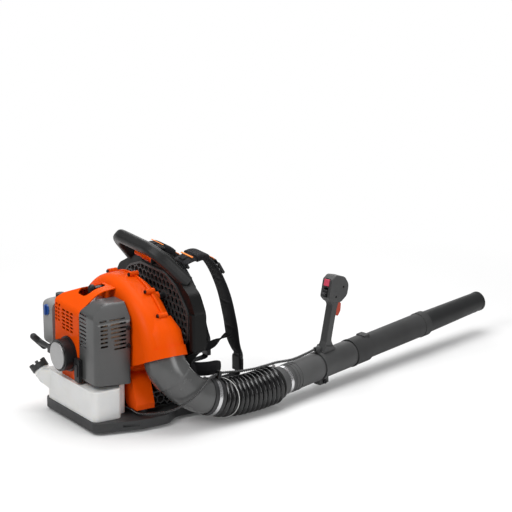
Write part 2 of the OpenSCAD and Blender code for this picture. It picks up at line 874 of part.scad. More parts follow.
module tank_shape(inset) {
  translate([0, 0, deck_z + inset]) linear_extrude(tank_top - deck_z - 2 * inset) polygon(rounded([
    [tank_rear + inset, -tank_side + inset, 16], [-88 - inset, -tank_side + inset, 14],
    [-78 - inset, -92, 14], [-56 - inset, -92 + inset, 10], [-56 - inset, 92, 14],
    [-70, 112 - inset, 18], [-104, 114 - inset, 20], [-122, tank_left - inset, 20],
    [tank_rear + inset, tank_left - inset, tank_corner]]));
}

// The tank's left rear corner, which swells up to the filler neck
module tank_shoulder(inset) {
  hull() {
    cap_frame() translate([0, 0, -35]) cylinder(h = 20, r = 21.2 - inset);
    translate([tank_rear + tank_corner, tank_left - tank_corner, tank_top - 54 + inset])
      cylinder(h = 53 - 2 * inset, r = tank_corner - 1 - inset);
  }
}

module cap_frame() {
  translate(cap_at) rotate([0, cap_tilt, cap_azimuth]) children();
}

module fuel_tank() {
  color(c_white) difference() {
    union() {
      tank_shape(0);
      // Filler neck
      tank_shoulder(0);
      cap_frame() translate([0, 0, -18]) cylinder(h = 8.6, r1 = 22.4, r2 = 20.4);
      cap_frame() translate([0, 0, -10]) cylinder(h = 8, r = 19);
    }
    tank_shape(3);
    tank_shoulder(3.5);
    cap_frame() translate([0, 0, -30]) cylinder(h = 38, r = 16);
    translate([-beyond, -beyond, -10]) cube([2 * beyond, 2 * beyond, deck_z + 10]);
  }
}

module fuel_cap() {
  color(c_dark) cap_frame() difference() {
    union() {
      translate([0, 0, soft_gap - 8]) cylinder(h = 13.5, r = 23.5);
      for (i = [0:5]) rotate(60 * i + 12) translate([14, -4.5, 5]) cube([10.5, 9, 7]);
    }
    translate([0, 0, -9]) cylinder(h = 7.3, r = 19 + move_gap);
  }
}

// ---------- outlet duct and hose ----------
tube_yaw = 15.5;
tube_pitch = 2;
hose_yaw = 3.5;
hose_pitch = -16;
seat_r = duct_r - 8;
seat_len = 34;
outlet_dir = [0, -sin(outlet_tilt), -cos(outlet_tilt)];
hose_dir = [cos(hose_pitch) * cos(hose_yaw), cos(hose_pitch) * sin(hose_yaw), sin(hose_pitch)];
tube_dir = [cos(tube_pitch) * cos(tube_yaw), cos(tube_pitch) * sin(tube_yaw), sin(tube_pitch)];
hose_from = outlet_at + [130, -27, -118];
hose_to = hose_from + [hose_reach, 37, -9];
elbow_from = outlet_at + 4 * outlet_dir;
elbow_to = hose_from - seat_len * hose_dir;
elbow_curve = [elbow_from, elbow_from + 40 * outlet_dir, elbow_to - 44 * hose_dir, elbow_to];
hose_curve = [hose_from, hose_from + hose_dir * hose_reach / 3,
  hose_to - tube_dir * hose_reach / 3, hose_to];
hose_split = [0.36, 0.66];
hose_joint = 0.0004;

// Frames with +X along the duct, at the hose's rear end and at its front end
module hose_start_frame() {
  translate(hose_from) rotate([0, -hose_pitch, hose_yaw]) children();
}

module tube_frame() {
  translate(hose_to) rotate([0, -tube_pitch, tube_yaw]) children();
}

// A curve that runs straight on before 0 and after 1
function along(p, t) = t < 0 ? p[0] + 3 * t * (p[1] - p[0])
  : t > 1 ? p[3] + 3 * (t - 1) * (p[3] - p[2]) : bezier(p, t);

// Ring of points about a curve: place, where 0 to 1 is the curve, and radius
function ring_on(curve, t, r, sides) = let (
    c = along(curve, t),
    d = unit(along(curve, t + 0.01) - along(curve, t - 0.01)),
    a = unit(cross([0.2, 1, 0.4], d)), b = cross(d, a))
  [for (k = [0:sides - 1]) c + r * (cos(360 * k / sides) * a + sin(360 * k / sides) * b)];

// Closed skin about a curve, out along its outside and back along its bore
module skin(curve, rings, sides = 24) {
  n = len(rings);
  polyhedron([for (g = rings) each ring_on(curve, g[0], g[1], sides)],
    [for (i = [0:n - 1], k = [0:sides - 1])
      let (j = (i + 1) % n, p = i * sides, q = j * sides, m = (k + 1) % sides)
      each [[p + k, q + k, p + m], [p + m, q + k, q + m]]]);
}

// Outer radius of the elbow: it narrows past its crease
function elbow_r(t) = duct_r - 8 * pow(t, 1.5) - 3 * exp(-pow((t - 0.38) / 0.05, 2));

module outlet_elbow() {
  steps = 12;
  before = -26 / norm(3 * (elbow_curve[1] - elbow_curve[0]));
  after = 1 + seat_len / norm(3 * (elbow_curve[3] - elbow_curve[2]));
  wall = duct_wall + 1;
  color(c_grey) skin(elbow_curve, concat(
    [[before, duct_r - soft_gap], [0, duct_r - soft_gap]],
    [for (i = [1:steps]) [i / steps, elbow_r(i / steps)]],
    [[after, seat_r], [after, seat_r - wall]],
    [for (i = [steps:-1:0]) [i / steps, elbow_r(i / steps) - wall]],
    [[before, duct_r - wall]]), 32);
}

// Plain ends of the hose, clamped on the elbow and on the tube
module hose_cuff_rear() {
  color(c_black) hose_start_frame() difference() {
    x_rod(-26, 8, seat_r + 3);
    x_rod(-27, 0, seat_r + soft_gap);
    x_rod(-1, 10, seat_r - 2);
  }
}

module hose_cuff_front() {
  color(c_black) tube_frame() difference() {
    union() {
      x_rod(-29, -22, tube_r + 11);
      x_rod(-22, -14, tube_r + 7);
      x_rod(-14, 18, tube_r + 3.5);
    }
    x_rod(-30, 19, tube_r);
  }
}

// Wave of the ribs between two places, then the plain bore on the way back
module hose_part(t0, t1) {
  ribs = rib_count * (t1 - t0);
  steps = round(ribs) * 4;
  skin(hose_curve, concat(
    [for (i = [0:steps]) let (w = [hose_r - 6, hose_r, hose_r, hose_r - 6][i % 4])
      [t0 + (t1 - t0) * i / steps, i == steps ? hose_r - 6 : w]],
    [for (i = [4:-1:0]) [t0 + (t1 - t0) * i / 4, hose_r - 8]]));
}

module hose_rear() {
  color(c_black) hose_part(0.044, hose_split[0] - hose_joint);
}

module hose_middle() {
  color(c_black) hose_part(hose_split[0], hose_split[1] - hose_joint);
}

module hose_front() {
  color(c_black) hose_part(hose_split[1], 0.85);
}

module hose_clamp_rear() {
  color(c_steel) hose_start_frame() translate([-15, 0, 0]) rotate([0, 90, 0]) band_clamp(seat_r + 3);
}

// Worm-drive band round Z
module band_clamp(r) {
  difference() {
    union() {
      cylinder(h = 10, r = r + 1);
      rotate(125) translate([r - 2, -9, 0]) cube([9, 18, 10]);
    }
    translate([0, 0, -1]) cylinder(h = 12, r = r);
  }
  rotate(125) translate([r + 6, -14, 5]) rotate([-90, 0, 0]) cylinder(h = 26, r = 4);
}

// ---------- blower tube ----------
module hose_clamp_front() {
  color(c_steel) tube_frame() translate([-2, 0, 0]) rotate([0, 90, 0]) band_clamp(tube_r + 3.5);
}

sleeve_x = [140, 290];

module blower_tube() {
  color(c_dark) tube_frame() difference() {
    union() {
      x_rod(-14, tube_len, tube_r);
      x_rod(19, sleeve_x[0] - 8, tube_r + 3.4);
      for (x = [22, 32, 44]) x_rod(x, x + 4, tube_r + 4.8);
    }
    x_rod(-20, tube_len + 5, tube_r - duct_wall);
  }
}

module handle_bracket() {
  color(c_dark) tube_frame() difference() {
    union() {
      x_rod(sleeve_x[0], sleeve_x[0] + 12, tube_r + 4.6);
      x_rod(sleeve_x[0], 262, tube_r + 2.4);
      // Foot with the clamping screw
      translate([sleeve_x[0], -11, -tube_r - 17]) cube([34, 22, 19]);
      // Seat under the grip
      translate([sleeve_x[0] + 12, -13, 0]) cube([50, 26, tube_r + 6 - soft_gap]);
      // Ferrule of the throttle cable
      translate([0, 0, tube_r + 15]) x_rod(sleeve_x[0] - 6, sleeve_x[0] + 11, 6.5);
      translate([sleeve_x[0], -4, tube_r]) cube([12, 8, 16]);
    }
    x_rod(sleeve_x[0] - 1, 300, tube_r);
    translate([0, 0, tube_r + 15]) x_rod(sleeve_x[0] - 7, sleeve_x[0] + 1, cable_r + 0.4);
    translate([sleeve_x[0] - 1, -1, -tube_r - 20]) cube([40, 2, 24]);
    translate([sleeve_x[0] + 17, 0, -tube_r - 10]) y_rod(-20, 20, shank(6) + run_gap);
  }
}

module bracket_screw() {
  color(c_black) tube_frame() translate([sleeve_x[0] + 17, -11 - 5, -tube_r - 10])
    rotate([90, 0, 0]) screw(6, 5, 26);
}

module middle_tube() {
  x0 = tube_len - 2;
  x1 = x0 + middle_len;
  color(c_dark) tube_frame() difference() {
    union() {
      x_rod(x0 - 20, x0 + 40, tube_r + 3);
      x_rod(x0 + 32, x1, tube_r - 1.4);
      x_rod(x0 - 20, x0 - 14, tube_r + 4.2);
      x_rod(x1 - 24, x1, tube_r + 0.2);
      translate([x0 + 28, -14, tube_r - 4]) cube([22, 28, 9]);
    }
    x_rod(x0 - 21, x0 + 2, tube_r + 0.3);
    x_rod(x0 + 1, x1 - 40, tube_r - 1.4 - duct_wall);
    x_rod(x1 - 41, x1 + 1, tip_r + 5);
  }
}

module nozzle() {
  x1 = tube_len - 2 + middle_len;
  color(c_black) tube_frame() difference() {
    union() {
      x_rod(x1 - 36, x1 - 2, tip_r + 5 - run_gap);
      translate([x1 - 10, 0, 0]) rotate([0, 90, 0])
        cylinder(h = nozzle_len + 10, r1 = tip_r + 4.2, r2 = tip_r);
      x_rod(x1 + nozzle_len - 8, x1 + nozzle_len, tip_r + 1);
      translate([x1 + nozzle_len - 18, -3, -tip_r - 3.5]) cube([9, 6, 6]);
    }
    translate([x1 - 40, 0, 0]) rotate([0, 90, 0])
      cylinder(h = nozzle_len + 45, r1 = tip_r + 2, r2 = tip_r - duct_wall);
  }
}

// ---------- control handle ----------
grip_x = 170;
head_r = 34;
shaft_cut = 5;

module grip_frame() {
  tube_frame() translate([grip_x, 0, tube_r + 2]) rotate([0, grip_lean, 0]) children();
}

// Height of the grip's lower end, which lies along the tube
function grip_foot(x) = (4 + x * sin(grip_lean)) / cos(grip_lean);

grip_outline = rounded([
  [-16, grip_foot(-16), 0], [-9, 26, 14], [-9, grip_h - 44, 12], [-head_r, grip_h - 26, 8],
  [-head_r, grip_h + 22, 8], [-20, grip_h + 35, 12], [16, grip_h + 34, 22],
  [38, grip_h + 14, 22], [38, grip_h - 16, 18], [20, grip_h - 33, 10], [13, grip_h - 36, 4],
  [10, grip_h - 60, 30], [10, 30, 14], [26, grip_foot(26), 0]]);

trigger_at = [8, 0, grip_h - 34];
trigger_w = 13;
switch_at = [-head_r, 0, grip_h + 12];
cruise_at = [-head_r + 4, 0, grip_h - 12];

module grip_pockets() {
  g = move_gap;
  translate([trigger_at[0] - 6, -trigger_w / 2 - g, grip_h - 84]) cube([40, trigger_w + 2 * g, 58]);
  translate([-head_r - 5, -8 - g, grip_h + 2]) cube([14, 16 + 2 * g, 22]);
  translate([-head_r - 5, -7 - g, grip_h - 25]) cube([22, 14 + 2 * g, 25]);
}

// Rounded rectangle that stands on the X axis
module rrect_up(w, h, r) {
  translate([0, h / 2]) rrect(w, h, r);
}

module grip_half(y0, y1) {
  grip_frame() difference() {
    along_y(y0, y1) polygon(grip_outline);
    grip_pockets();
    // The shaft is narrower than the head and the foot
    for (y = [-grip_w / 2, grip_w / 2]) translate([-40, y, 14]) rotate([0, 90, 0]) rotate(90)
      linear_extrude(74) rrect_up(2 * shaft_cut, grip_h - 50, shaft_cut - 0.5);
    for (p = [[18, grip_h + 6], [-6, grip_h - 22]]) translate([p[0], 0, p[1]])
      y_rod(y0 < 0 ? -grip_w : grip_w / 2 - 5, y0 < 0 ? -grip_w / 2 + 5 : grip_w, 3.2);
  }
}

module grip_left() {
  color(c_dark) grip_half(0, grip_w / 2);
}

module grip_right() {
  color(c_dark) {
    grip_half(-grip_w / 2, 0);
    grip_frame() {
      translate(trigger_at) y_rod(-trigger_w / 2 - 1, trigger_w / 2 + move_gap, 2.5);
      translate(cruise_at) y_rod(-8, 7.4, 2);
    }
  }
}

module throttle_trigger() {
  color([0.80, 0.12, 0.04]) grip_frame() difference() {
    union() {
      translate(trigger_at) y_rod(-trigger_w / 2, trigger_w / 2, 5);
      along_y(-trigger_w / 2, trigger_w / 2) polygon(rounded([
        [trigger_at[0] - 3, grip_h - 36, 0], [trigger_at[0] + 5, grip_h - 32, 0],
        [30, grip_h - 40, 4], [33, grip_h - 60, 8], [26, grip_h - 76, 4], [17, grip_h - 72, 3],
        [15, grip_h - 44, 8]]));
    }
    translate(trigger_at) y_rod(-trigger_w, trigger_w, 2.5 + run_gap);
    for (z = [grip_h - 72:5:grip_h - 44]) translate([34.5, 0, z]) y_rod(-trigger_w, trigger_w, 2);
  }
}

module stop_switch() {
  color([0.85, 0.16, 0.22]) grip_frame() translate(switch_at) {
    translate([-4, -8, -8]) cube([10, 16, 18]);
  }
}

module cruise_lever() {
  color(c_black) grip_frame() difference() {
    union() {
      translate(cruise_at) y_rod(-7, 7, 7);
      translate(cruise_at) rotate([0, -35, 0]) translate([-14, -7, -3]) cube([12, 14, 6]);
    }
    translate(cruise_at) y_rod(-9, 9, 2 + run_gap);
  }
}

// ---------- throttle cable ----------
cable_r = 3.6;
clip_at = hose_from + [18, 1, 59];
engine_route = [[-68.7, 90, 257], [-58, 91, 250], [-51.5, 92, 226], [-51.5, 92, 130], [-51.5, 84, 66],
  [-51.5, 50, 48], [-52, -100, 46], [-44, -152, 44], [4, -205, 58], [34, -238, 82],
  [62, -248, 104], [90, -242, 121], [116, -223, 131], clip_at + [-15, -6, 1],
  clip_at + [-5, -2, 0.3], clip_at + [-0.5, -0.2, 0]];
hose_end = hose_to + [-76, -20, 58];
hose_route = [clip_at, clip_at + [5, 2, -0.3], clip_at + [15, 6, -1], clip_at + [74, 10, -8],
  hose_end + [-24, -6, 1], hose_end];
grip_route = [hose_end + [0.4, 0.1, 0], hose_end + [24, 6, -1], hose_to + [-20, -6, 56],
  hose_to + [40, 10, 49], hose_to + [96, 27, 51], hose_to + [122, 34, 54], hose_to + [132, 37, 54]];

module cable_clip() {
  color(c_black) hose_start_frame() difference() {
    translate([-4, -8, seat_r + 3]) cube([9, 16, 21]);
    translate([0, 0, seat_r + 16]) x_rod(-6, 8, cable_r + 2.6);
  }
}

module cable_engine() {
  color(c_black) cord(smooth(engine_route), cable_r);
}

module cable_hose() {
  color(c_black) cord(smooth(hose_route), cable_r);
}

module cable_tube() {
  color(c_black) cord(smooth(grip_route), cable_r);
}

// ---------- harness ----------
module back_pad() {
  color(c_black) along_x(frame_front + soft_gap, frame_front + pad_t) polygon(rounded(mirrored([
    [-116, 156, 30], [-146, 250, 60], [-138, 360, 40], [-90, 396, 40]])));
}

module hip_pad() {
  color(c_black) {
    along_x(frame_front + soft_gap, hip_front) polygon(rounded(mirrored([
      [-110, 62, 24], [-134, 104, 20], [-126, 148, 24]])));
    // Short wings that wrap the hips
    for (s = [0, 1]) mirror([0, s, 0]) translate([0, 0, 106]) linear_extrude(38)
      band([[128, 112], [148, 128], [176, 136], [208, 130]], 12);
  }
}

buckle_at = [290, 95];
buckle_h = 24;

// Middle line of a shoulder strap, [x, z]
strap_line = [[frame_front - 4, frame_top + strap_t / 2 + soft_gap],
  [frame_front + 16, frame_top + 14], [176, 420], [214, 380], [246, 310], [266, 230],
  [276, 170], [buckle_at[0] - 1, 132], [buckle_at[0], 118],
  [buckle_at[0], buckle_at[1] + buckle_h / 2 + soft_gap]];

// The left strap has sunk lower than the right one
slack_line = [strap_line[0], [frame_front + 20, frame_top + 8], [172, 394], [206, 350], [238, 290],
  [262, 222], [276, 170], for (i = [7:9]) strap_line[i]];

module shoulder_strap(line) {
  color(c_black) along_y(strap_y - strap_w / 2, strap_y + strap_w / 2)
    band(smooth_flat(line), strap_t);
}

function smooth_flat(p, n = 4) = [for (q = smooth([for (v = p) [v[0], v[1], 0]], n)) [q[0], q[1]]];

module shoulder_strap_left() {
  shoulder_strap(slack_line);
}

module shoulder_strap_right() {
  mirror([0, 1, 0]) shoulder_strap(strap_line);
}

web_w = 25;
web_t = 2.4;
hip_front = frame_front + pad_t + 4;
lower_line = [[buckle_at[0], buckle_at[1] - buckle_h / 2 - soft_gap], [284, 75], [240, 71], [180, 71],
  [hip_front + soft_gap, 70]];
side_line = [[frame_front + pad_t + soft_gap, 162], [190, 164], [226, 174], [260, 189]];

module webbing() {
  color(c_black) for (y = [-strap_y, strap_y]) {
    along_y(y - web_w / 2, y + web_w / 2) band(smooth_flat(lower_line), web_t);
    along_y(y - web_w / 2, y + web_w / 2) band(smooth_flat(side_line), web_t);
  }
}

module strap_buckles() {
  color(c_black) for (s = [-1, 1]) translate([buckle_at[0], s * strap_y, buckle_at[1]]) difference() {
    cube([11, 40, buckle_h], center = true);
    translate([4, 0, 0]) cube([8, 30, buckle_h - 10], center = true);
  }
}

base_plate();
base_feet();
back_frame();
intake_grille();
carry_handle();
release_lever();
av_mounts();
fan_housing_rear();
fan_housing_front();
housing_screws();
fan_impeller();
crankshaft();
flywheel();
crankcase();
engine_cylinder();
spark_plug();
plug_boot();
muffler();
muffler_cover();
cover_screws();
engine_cover();
carburettor();
air_filter_cover();
filter_knob();
choke_lever();
starter_housing();
starter_disc();
starter_handle();
starter_rope();
connector_box();
fuel_tank();
fuel_cap();
outlet_elbow();
hose_clamp_rear();
hose_clamp_front();
hose_cuff_rear();
hose_cuff_front();
hose_rear();
hose_middle();
hose_front();
blower_tube();
handle_bracket();
bracket_screw();
middle_tube();
nozzle();
grip_left();
grip_right();
throttle_trigger();
stop_switch();
cruise_lever();
cable_clip();
cable_engine();
cable_hose();
cable_tube();
back_pad();
hip_pad();
shoulder_strap_left();
shoulder_strap_right();
webbing();
strap_buckles();
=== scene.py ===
"""Looks of the backpack leaf blower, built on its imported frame. Metres, +X forward, +Z up."""
import bpy
import json
import math
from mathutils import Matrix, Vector


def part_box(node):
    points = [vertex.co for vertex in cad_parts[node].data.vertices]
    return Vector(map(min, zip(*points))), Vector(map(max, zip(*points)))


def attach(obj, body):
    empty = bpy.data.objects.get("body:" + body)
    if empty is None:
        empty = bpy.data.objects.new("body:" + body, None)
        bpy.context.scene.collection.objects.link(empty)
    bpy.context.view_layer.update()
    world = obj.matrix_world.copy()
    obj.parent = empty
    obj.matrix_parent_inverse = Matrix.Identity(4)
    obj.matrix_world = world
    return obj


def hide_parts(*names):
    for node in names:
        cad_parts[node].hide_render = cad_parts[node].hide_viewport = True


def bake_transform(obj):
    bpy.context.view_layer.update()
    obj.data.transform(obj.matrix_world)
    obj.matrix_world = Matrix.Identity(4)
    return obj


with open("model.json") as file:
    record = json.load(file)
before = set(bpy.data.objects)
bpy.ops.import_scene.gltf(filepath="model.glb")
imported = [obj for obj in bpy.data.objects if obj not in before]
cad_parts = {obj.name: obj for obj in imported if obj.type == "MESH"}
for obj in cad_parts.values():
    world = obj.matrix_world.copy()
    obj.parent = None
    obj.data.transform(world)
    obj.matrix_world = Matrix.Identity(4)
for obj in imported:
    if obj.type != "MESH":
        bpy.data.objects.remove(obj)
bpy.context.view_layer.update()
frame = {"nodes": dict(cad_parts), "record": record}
scene = bpy.context.scene
nodes = frame["nodes"]
node_slot = {p["node"]: p["material_slot"] for p in frame["record"]["subparts"]}


def mm(*p):
    """Millimetres, as in the CAD source, to metres."""
    return Vector(p) / 1000


# ---------- camera ----------
CAMERA_AZIMUTH, CAMERA_ELEVATION = math.radians(-32.1), math.radians(16.8)
CAMERA_AIM = mm(325.7, -116, 400.6)
CAMERA_DISTANCE = 9
CAMERA_LENS, CAMERA_SENSOR = 242.6, 36


def add_camera():
    """A long lens from behind the unit, on the operator's right."""
    back = Vector((math.sin(CAMERA_AZIMUTH) * math.cos(CAMERA_ELEVATION),
                   -math.cos(CAMERA_AZIMUTH) * math.cos(CAMERA_ELEVATION),
                   math.sin(CAMERA_ELEVATION)))
    data = bpy.data.cameras.new("camera")
    data.sensor_width = CAMERA_SENSOR
    data.lens = CAMERA_LENS
    cam = bpy.data.objects.new("camera", data)
    scene.collection.objects.link(cam)
    cam.location = CAMERA_AIM + back * CAMERA_DISTANCE
    cam.rotation_mode = "QUATERNION"
    cam.rotation_quaternion = back.to_track_quat("Z", "Y")
    scene.camera = cam


add_camera()


# ---------- curves and tubes ----------
def bezier(p, t):
    """Point at share t of the cubic curve with the four control points p."""
    return ((1 - t) ** 3 * p[0] + 3 * t * (1 - t) ** 2 * p[1]
            + 3 * t * t * (1 - t) * p[2] + t ** 3 * p[3])


def smooth(p, n):
    """Smooth curve through points, n steps between neighbours."""
    out = []
    last = len(p) - 1
    for i in range(last):
        a, b = p[i], p[i + 1]
        u = (b - p[max(i - 1, 0)]) / (3 if i == 0 else 6)
        w = (p[min(i + 2, last)] - a) / (3 if i == last - 1 else 6)
        out += [bezier([a, a + u, b - w, b], k / n) for k in range(n)]
    return out + [p[last]]


def spaced(line, step):
    """The line again, with points one step apart."""
    out, left = [line[0].copy()], step
    for a, b in zip(line, line[1:]):
        run, at = (b - a).length, 0.0
        while run - at >= left:
            at += left
            out.append(a.lerp(b, at / run))
            left = step
        left -= run - at
    if (line[-1] - out[-1]).length > step / 2:
        out.append(line[-1].copy())
    return out


def heading_at(line, i):
    """Direction of a line at its point i."""
    return (line[min(i + 1, len(line) - 1)] - line[max(i - 1, 0)]).normalized()


def frames(line, up=Vector((0.1, 0.3, 1))):
    """A direction and two square axes at each point, turned as little as possible."""
    out, a = [], None
    for i in range(len(line)):
        d = heading_at(line, i)
        a = d.cross(up).normalized() if a is None else (a - d * a.dot(d)).normalized()
        out.append((d, a, d.cross(a)))
    return out


def shade_smooth(mesh):
    mesh.polygons.foreach_set("use_smooth", [True] * len(mesh.polygons))


def mesh_object(name, verts, faces, material):
    """A new piece with one material."""
    mesh = bpy.data.meshes.new(name)
    mesh.from_pydata(verts, [], faces)
    mesh.validate()
    shade_smooth(mesh)
    mesh.materials.append(material)
    obj = bpy.data.objects.new(name, mesh)
    scene.collection.objects.link(obj)
    return obj


def ring_faces(rings, sides, closed=True):
    """Faces between rings of points, with caps on both ends of a closed form."""
    faces = [(i * sides + k, i * sides + (k + 1) % sides,
              (i + 1) * sides + (k + 1) % sides, (i + 1) * sides + k)
             for i in range(rings - 1) for k in range(sides)]
    if closed:
        faces.append(tuple(range(sides))[::-1])
        faces.append(tuple((rings - 1) * sides + k for k in range(sides)))
    return faces


def tube(name, line, radius, sides, material, closed=True, axes=None):
    """Tube along a line. radius is a number or a function of the point's index."""
    axes = axes or frames(line)
    verts = []
    for i, (p, (d, a, b)) in enumerate(zip(line, axes)):
        r = radius(i) if callable(radius) else radius
        for k in range(sides):
            t = math.tau * k / sides
            verts.append(p + r * (math.cos(t) * a + math.sin(t) * b))
    return mesh_object(name, verts, ring_faces(len(line), sides, closed), material)


# ---------- materials ----------
def link(tree, a, b):
    tree.links.new(a, b)


def node(tree, kind, **values):
    """A new shader node, with its settings or its inputs' values by name."""
    made = tree.nodes.new(kind)
    for key, value in values.items():
        if hasattr(made, key):
            setattr(made, key, value)
        else:
            made.inputs[key].default_value = value
    return made


def noise(tree, place, scale, detail=3.0, rough=0.55):
    """Noise over the object's own coordinates. scale is in waves per metre."""
    made = node(tree, "ShaderNodeTexNoise")
    made.inputs["Scale"].default_value = scale
    made.inputs["Detail"].default_value = detail
    made.inputs["Roughness"].default_value = rough
    link(tree, place, made.inputs["Vector"])
    return made.outputs["Fac"]


def remap(tree, value, low, high, to_low, to_high):
    """A value from one range to another, held at its ends."""
    made = node(tree, "ShaderNodeMapRange")
    for key, v in (("From Min", low), ("From Max", high), ("To Min", to_low), ("To Max", to_high)):
        made.inputs[key].default_value = v
    link(tree, value, made.inputs["Value"])
    return made.outputs["Result"]


def mix_colour(tree, amount, a, b):
    """Colour a, going over to b as amount goes from 0 to 1. Each is a colour or an output."""
    made = node(tree, "ShaderNodeMix")
    made.data_type = "RGBA"
    for key, c in (("A", a), ("B", b)):
        socket = [s for s in made.inputs if s.name == key and s.type == "RGBA"][0]
        if isinstance(c, bpy.types.NodeSocket):
            link(tree, c, socket)
        else:
            socket.default_value = (*c, 1)
    link(tree, amount, made.inputs["Factor"])
    return [s for s in made.outputs if s.type == "RGBA"][0]


def new_material(name):
    made = bpy.data.materials.new(name)
    made.use_nodes = True
    tree = made.node_tree
    shader = tree.nodes["Principled BSDF"]
    place = node(tree, "ShaderNodeTexCoord").outputs["Object"]
    return made, tree, shader, place


def bump(tree, height, strength, distance, after=None):
    made = node(tree, "ShaderNodeBump")
    made.inputs["Strength"].default_value = strength
    made.inputs["Distance"].default_value = distance
    link(tree, height, made.inputs["Height"])
    if after is not None:
        link(tree, after, made.inputs["Normal"])
    return made.outputs["Normal"]


def scaled(colour, k):
    """A colour k times as bright."""
    return tuple(min(1, c * k) for c in colour)


GRAIN_DEPTH = 0.00012  # of moulded plastic
FINE_DEPTH = 0.0001  # of brushed or cast metal, and of rubber


def moulded(name, colour, rough, grain=1400, strength=0.25, vary=0.12, shine=0.5):
    """Moulded plastic: fine grain, slow changes of tone and gloss, and a little dust."""
    made, tree, shader, place = new_material(name)
    slow = noise(tree, place, 9, 2)
    cloud = mix_colour(tree, remap(tree, slow, 0.3, 0.7, 0, 1),
                       scaled(colour, 1 - vary), scaled(colour, 1 + vary))
    speck = noise(tree, place, 420, 2)
    tone = mix_colour(tree, remap(tree, speck, 0.62, 0.8, 0, 0.35), cloud, scaled(colour, 1.35))
    link(tree, tone, shader.inputs["Base Color"])
    gloss = noise(tree, place, 26, 4)
    link(tree, remap(tree, gloss, 0.25, 0.75, rough - 0.06, rough + 0.07),
         shader.inputs["Roughness"])
    normal = bump(tree, noise(tree, place, grain, 2), strength, GRAIN_DEPTH)
    link(tree, normal, shader.inputs["Normal"])
    shader.inputs["IOR"].default_value = 1.46
    shader.inputs["Specular IOR Level"].default_value = shine
    return made


def metal(name, colour, rough, stretch=(1, 1, 1), scale=240, strength=0.3):
    """Metal with a brushed or cast surface, from noise stretched along one way."""
    made, tree, shader, place = new_material(name)
    squeeze = node(tree, "ShaderNodeMapping")
    squeeze.inputs["Scale"].default_value = stretch
    link(tree, place, squeeze.inputs["Vector"])
    fine = noise(tree, squeeze.outputs["Vector"], scale, 4, 0.6)
    slow = noise(tree, place, 14, 3)
    tone = mix_colour(tree, remap(tree, slow, 0.3, 0.7, 0, 1), scaled(colour, 0.82), colour)
    link(tree, mix_colour(tree, remap(tree, fine, 0.4, 0.75, 0, 0.5), tone, scaled(colour, 1.2)),
         shader.inputs["Base Color"])
    link(tree, remap(tree, fine, 0.3, 0.7, rough - 0.08, rough + 0.1), shader.inputs["Roughness"])
    link(tree, bump(tree, fine, strength, FINE_DEPTH), shader.inputs["Normal"])
    shader.inputs["Metallic"].default_value = 1.0
    return made


def rubber(name, colour, rough, shine=0.5):
    """Rubber: slow bloom in tone and gloss over a fine grain."""
    made, tree, shader, place = new_material(name)
    slow = noise(tree, place, 30, 4)
    link(tree, mix_colour(tree, remap(tree, slow, 0.35, 0.7, 0, 1), colour, scaled(colour, 1.7)),
         shader.inputs["Base Color"])
    link(tree, remap(tree, slow, 0.3, 0.7, rough - 0.08, rough + 0.1), shader.inputs["Roughness"])
    link(tree, bump(tree, noise(tree, place, 900, 2), 0.2, FINE_DEPTH), shader.inputs["Normal"])
    shader.inputs["Specular IOR Level"].default_value = shine
    return made


def woven(name, colour, pitch, strength=0.6, sheen=0.25):
    """Cloth: crossed waves for the threads, about a pitch apart, with fuzz and slow fading."""
    made, tree, shader, place = new_material(name)
    heights = []
    for axis in ("X", "Y", "Z"):
        wave = node(tree, "ShaderNodeTexWave")
        wave.bands_direction = axis
        wave.inputs["Scale"].default_value = 1 / pitch / 3.2
        wave.inputs["Distortion"].default_value = 0.6
        wave.inputs["Detail"].default_value = 1.0
        link(tree, place, wave.inputs["Vector"])
        heights.append(wave.outputs["Fac"])
    sums = heights[0]
    for h in heights[1:]:
        add = node(tree, "ShaderNodeMath", operation="ADD")
        link(tree, sums, add.inputs[0])
        link(tree, h, add.inputs[1])
        sums = add.outputs[0]
    slow = noise(tree, place, 16, 3)
    fade = mix_colour(tree, remap(tree, slow, 0.35, 0.7, 0, 1), colour, scaled(colour, 1.6))
    thread = mix_colour(tree, remap(tree, sums, 0.9, 2.4, 0, 0.6), fade, scaled(colour, 2.6))
    link(tree, thread, shader.inputs["Base Color"])
    fuzz = noise(tree, place, 1500, 2)
    normal = bump(tree, fuzz, 0.2, 0.0002, bump(tree, sums, strength, 0.0003))
    link(tree, normal, shader.inputs["Normal"])
    shader.inputs["Roughness"].default_value = 0.85
    shader.inputs["Specular IOR Level"].default_value = 0.2
    shader.inputs["Sheen Weight"].default_value = sheen
    shader.inputs["Sheen Roughness"].default_value = 0.4
    return made


def disc_metal(name, colour, centre):
    """Turned aluminium: fine rings about the X axis through a centre."""
    made, tree, shader, place = new_material(name)
    shift = node(tree, "ShaderNodeMapping")
    shift.inputs["Location"].default_value = (0, -centre[1], -centre[2])
    shift.inputs["Scale"].default_value = (0, 1, 1)
    link(tree, place, shift.inputs["Vector"])
    wave = node(tree, "ShaderNodeTexWave", wave_type="RINGS")
    wave.rings_direction = "SPHERICAL"
    wave.inputs["Scale"].default_value = 320
    wave.inputs["Distortion"].default_value = 1.5
    wave.inputs["Detail"].default_value = 3
    link(tree, shift.outputs["Vector"], wave.inputs["Vector"])
    rings = wave.outputs["Fac"]
    slow = noise(tree, place, 30, 3)
    tone = mix_colour(tree, remap(tree, slow, 0.3, 0.7, 0, 1), scaled(colour, 0.88), colour)
    link(tree, mix_colour(tree, remap(tree, rings, 0.2, 0.9, 0, 0.35), tone, scaled(colour, 1.25)),
         shader.inputs["Base Color"])
    link(tree, bump(tree, rings, 0.12, FINE_DEPTH), shader.inputs["Normal"])
    link(tree, remap(tree, rings, 0, 1, 0.42, 0.32), shader.inputs["Roughness"])
    shader.inputs["Metallic"].default_value = 0.9
    return made


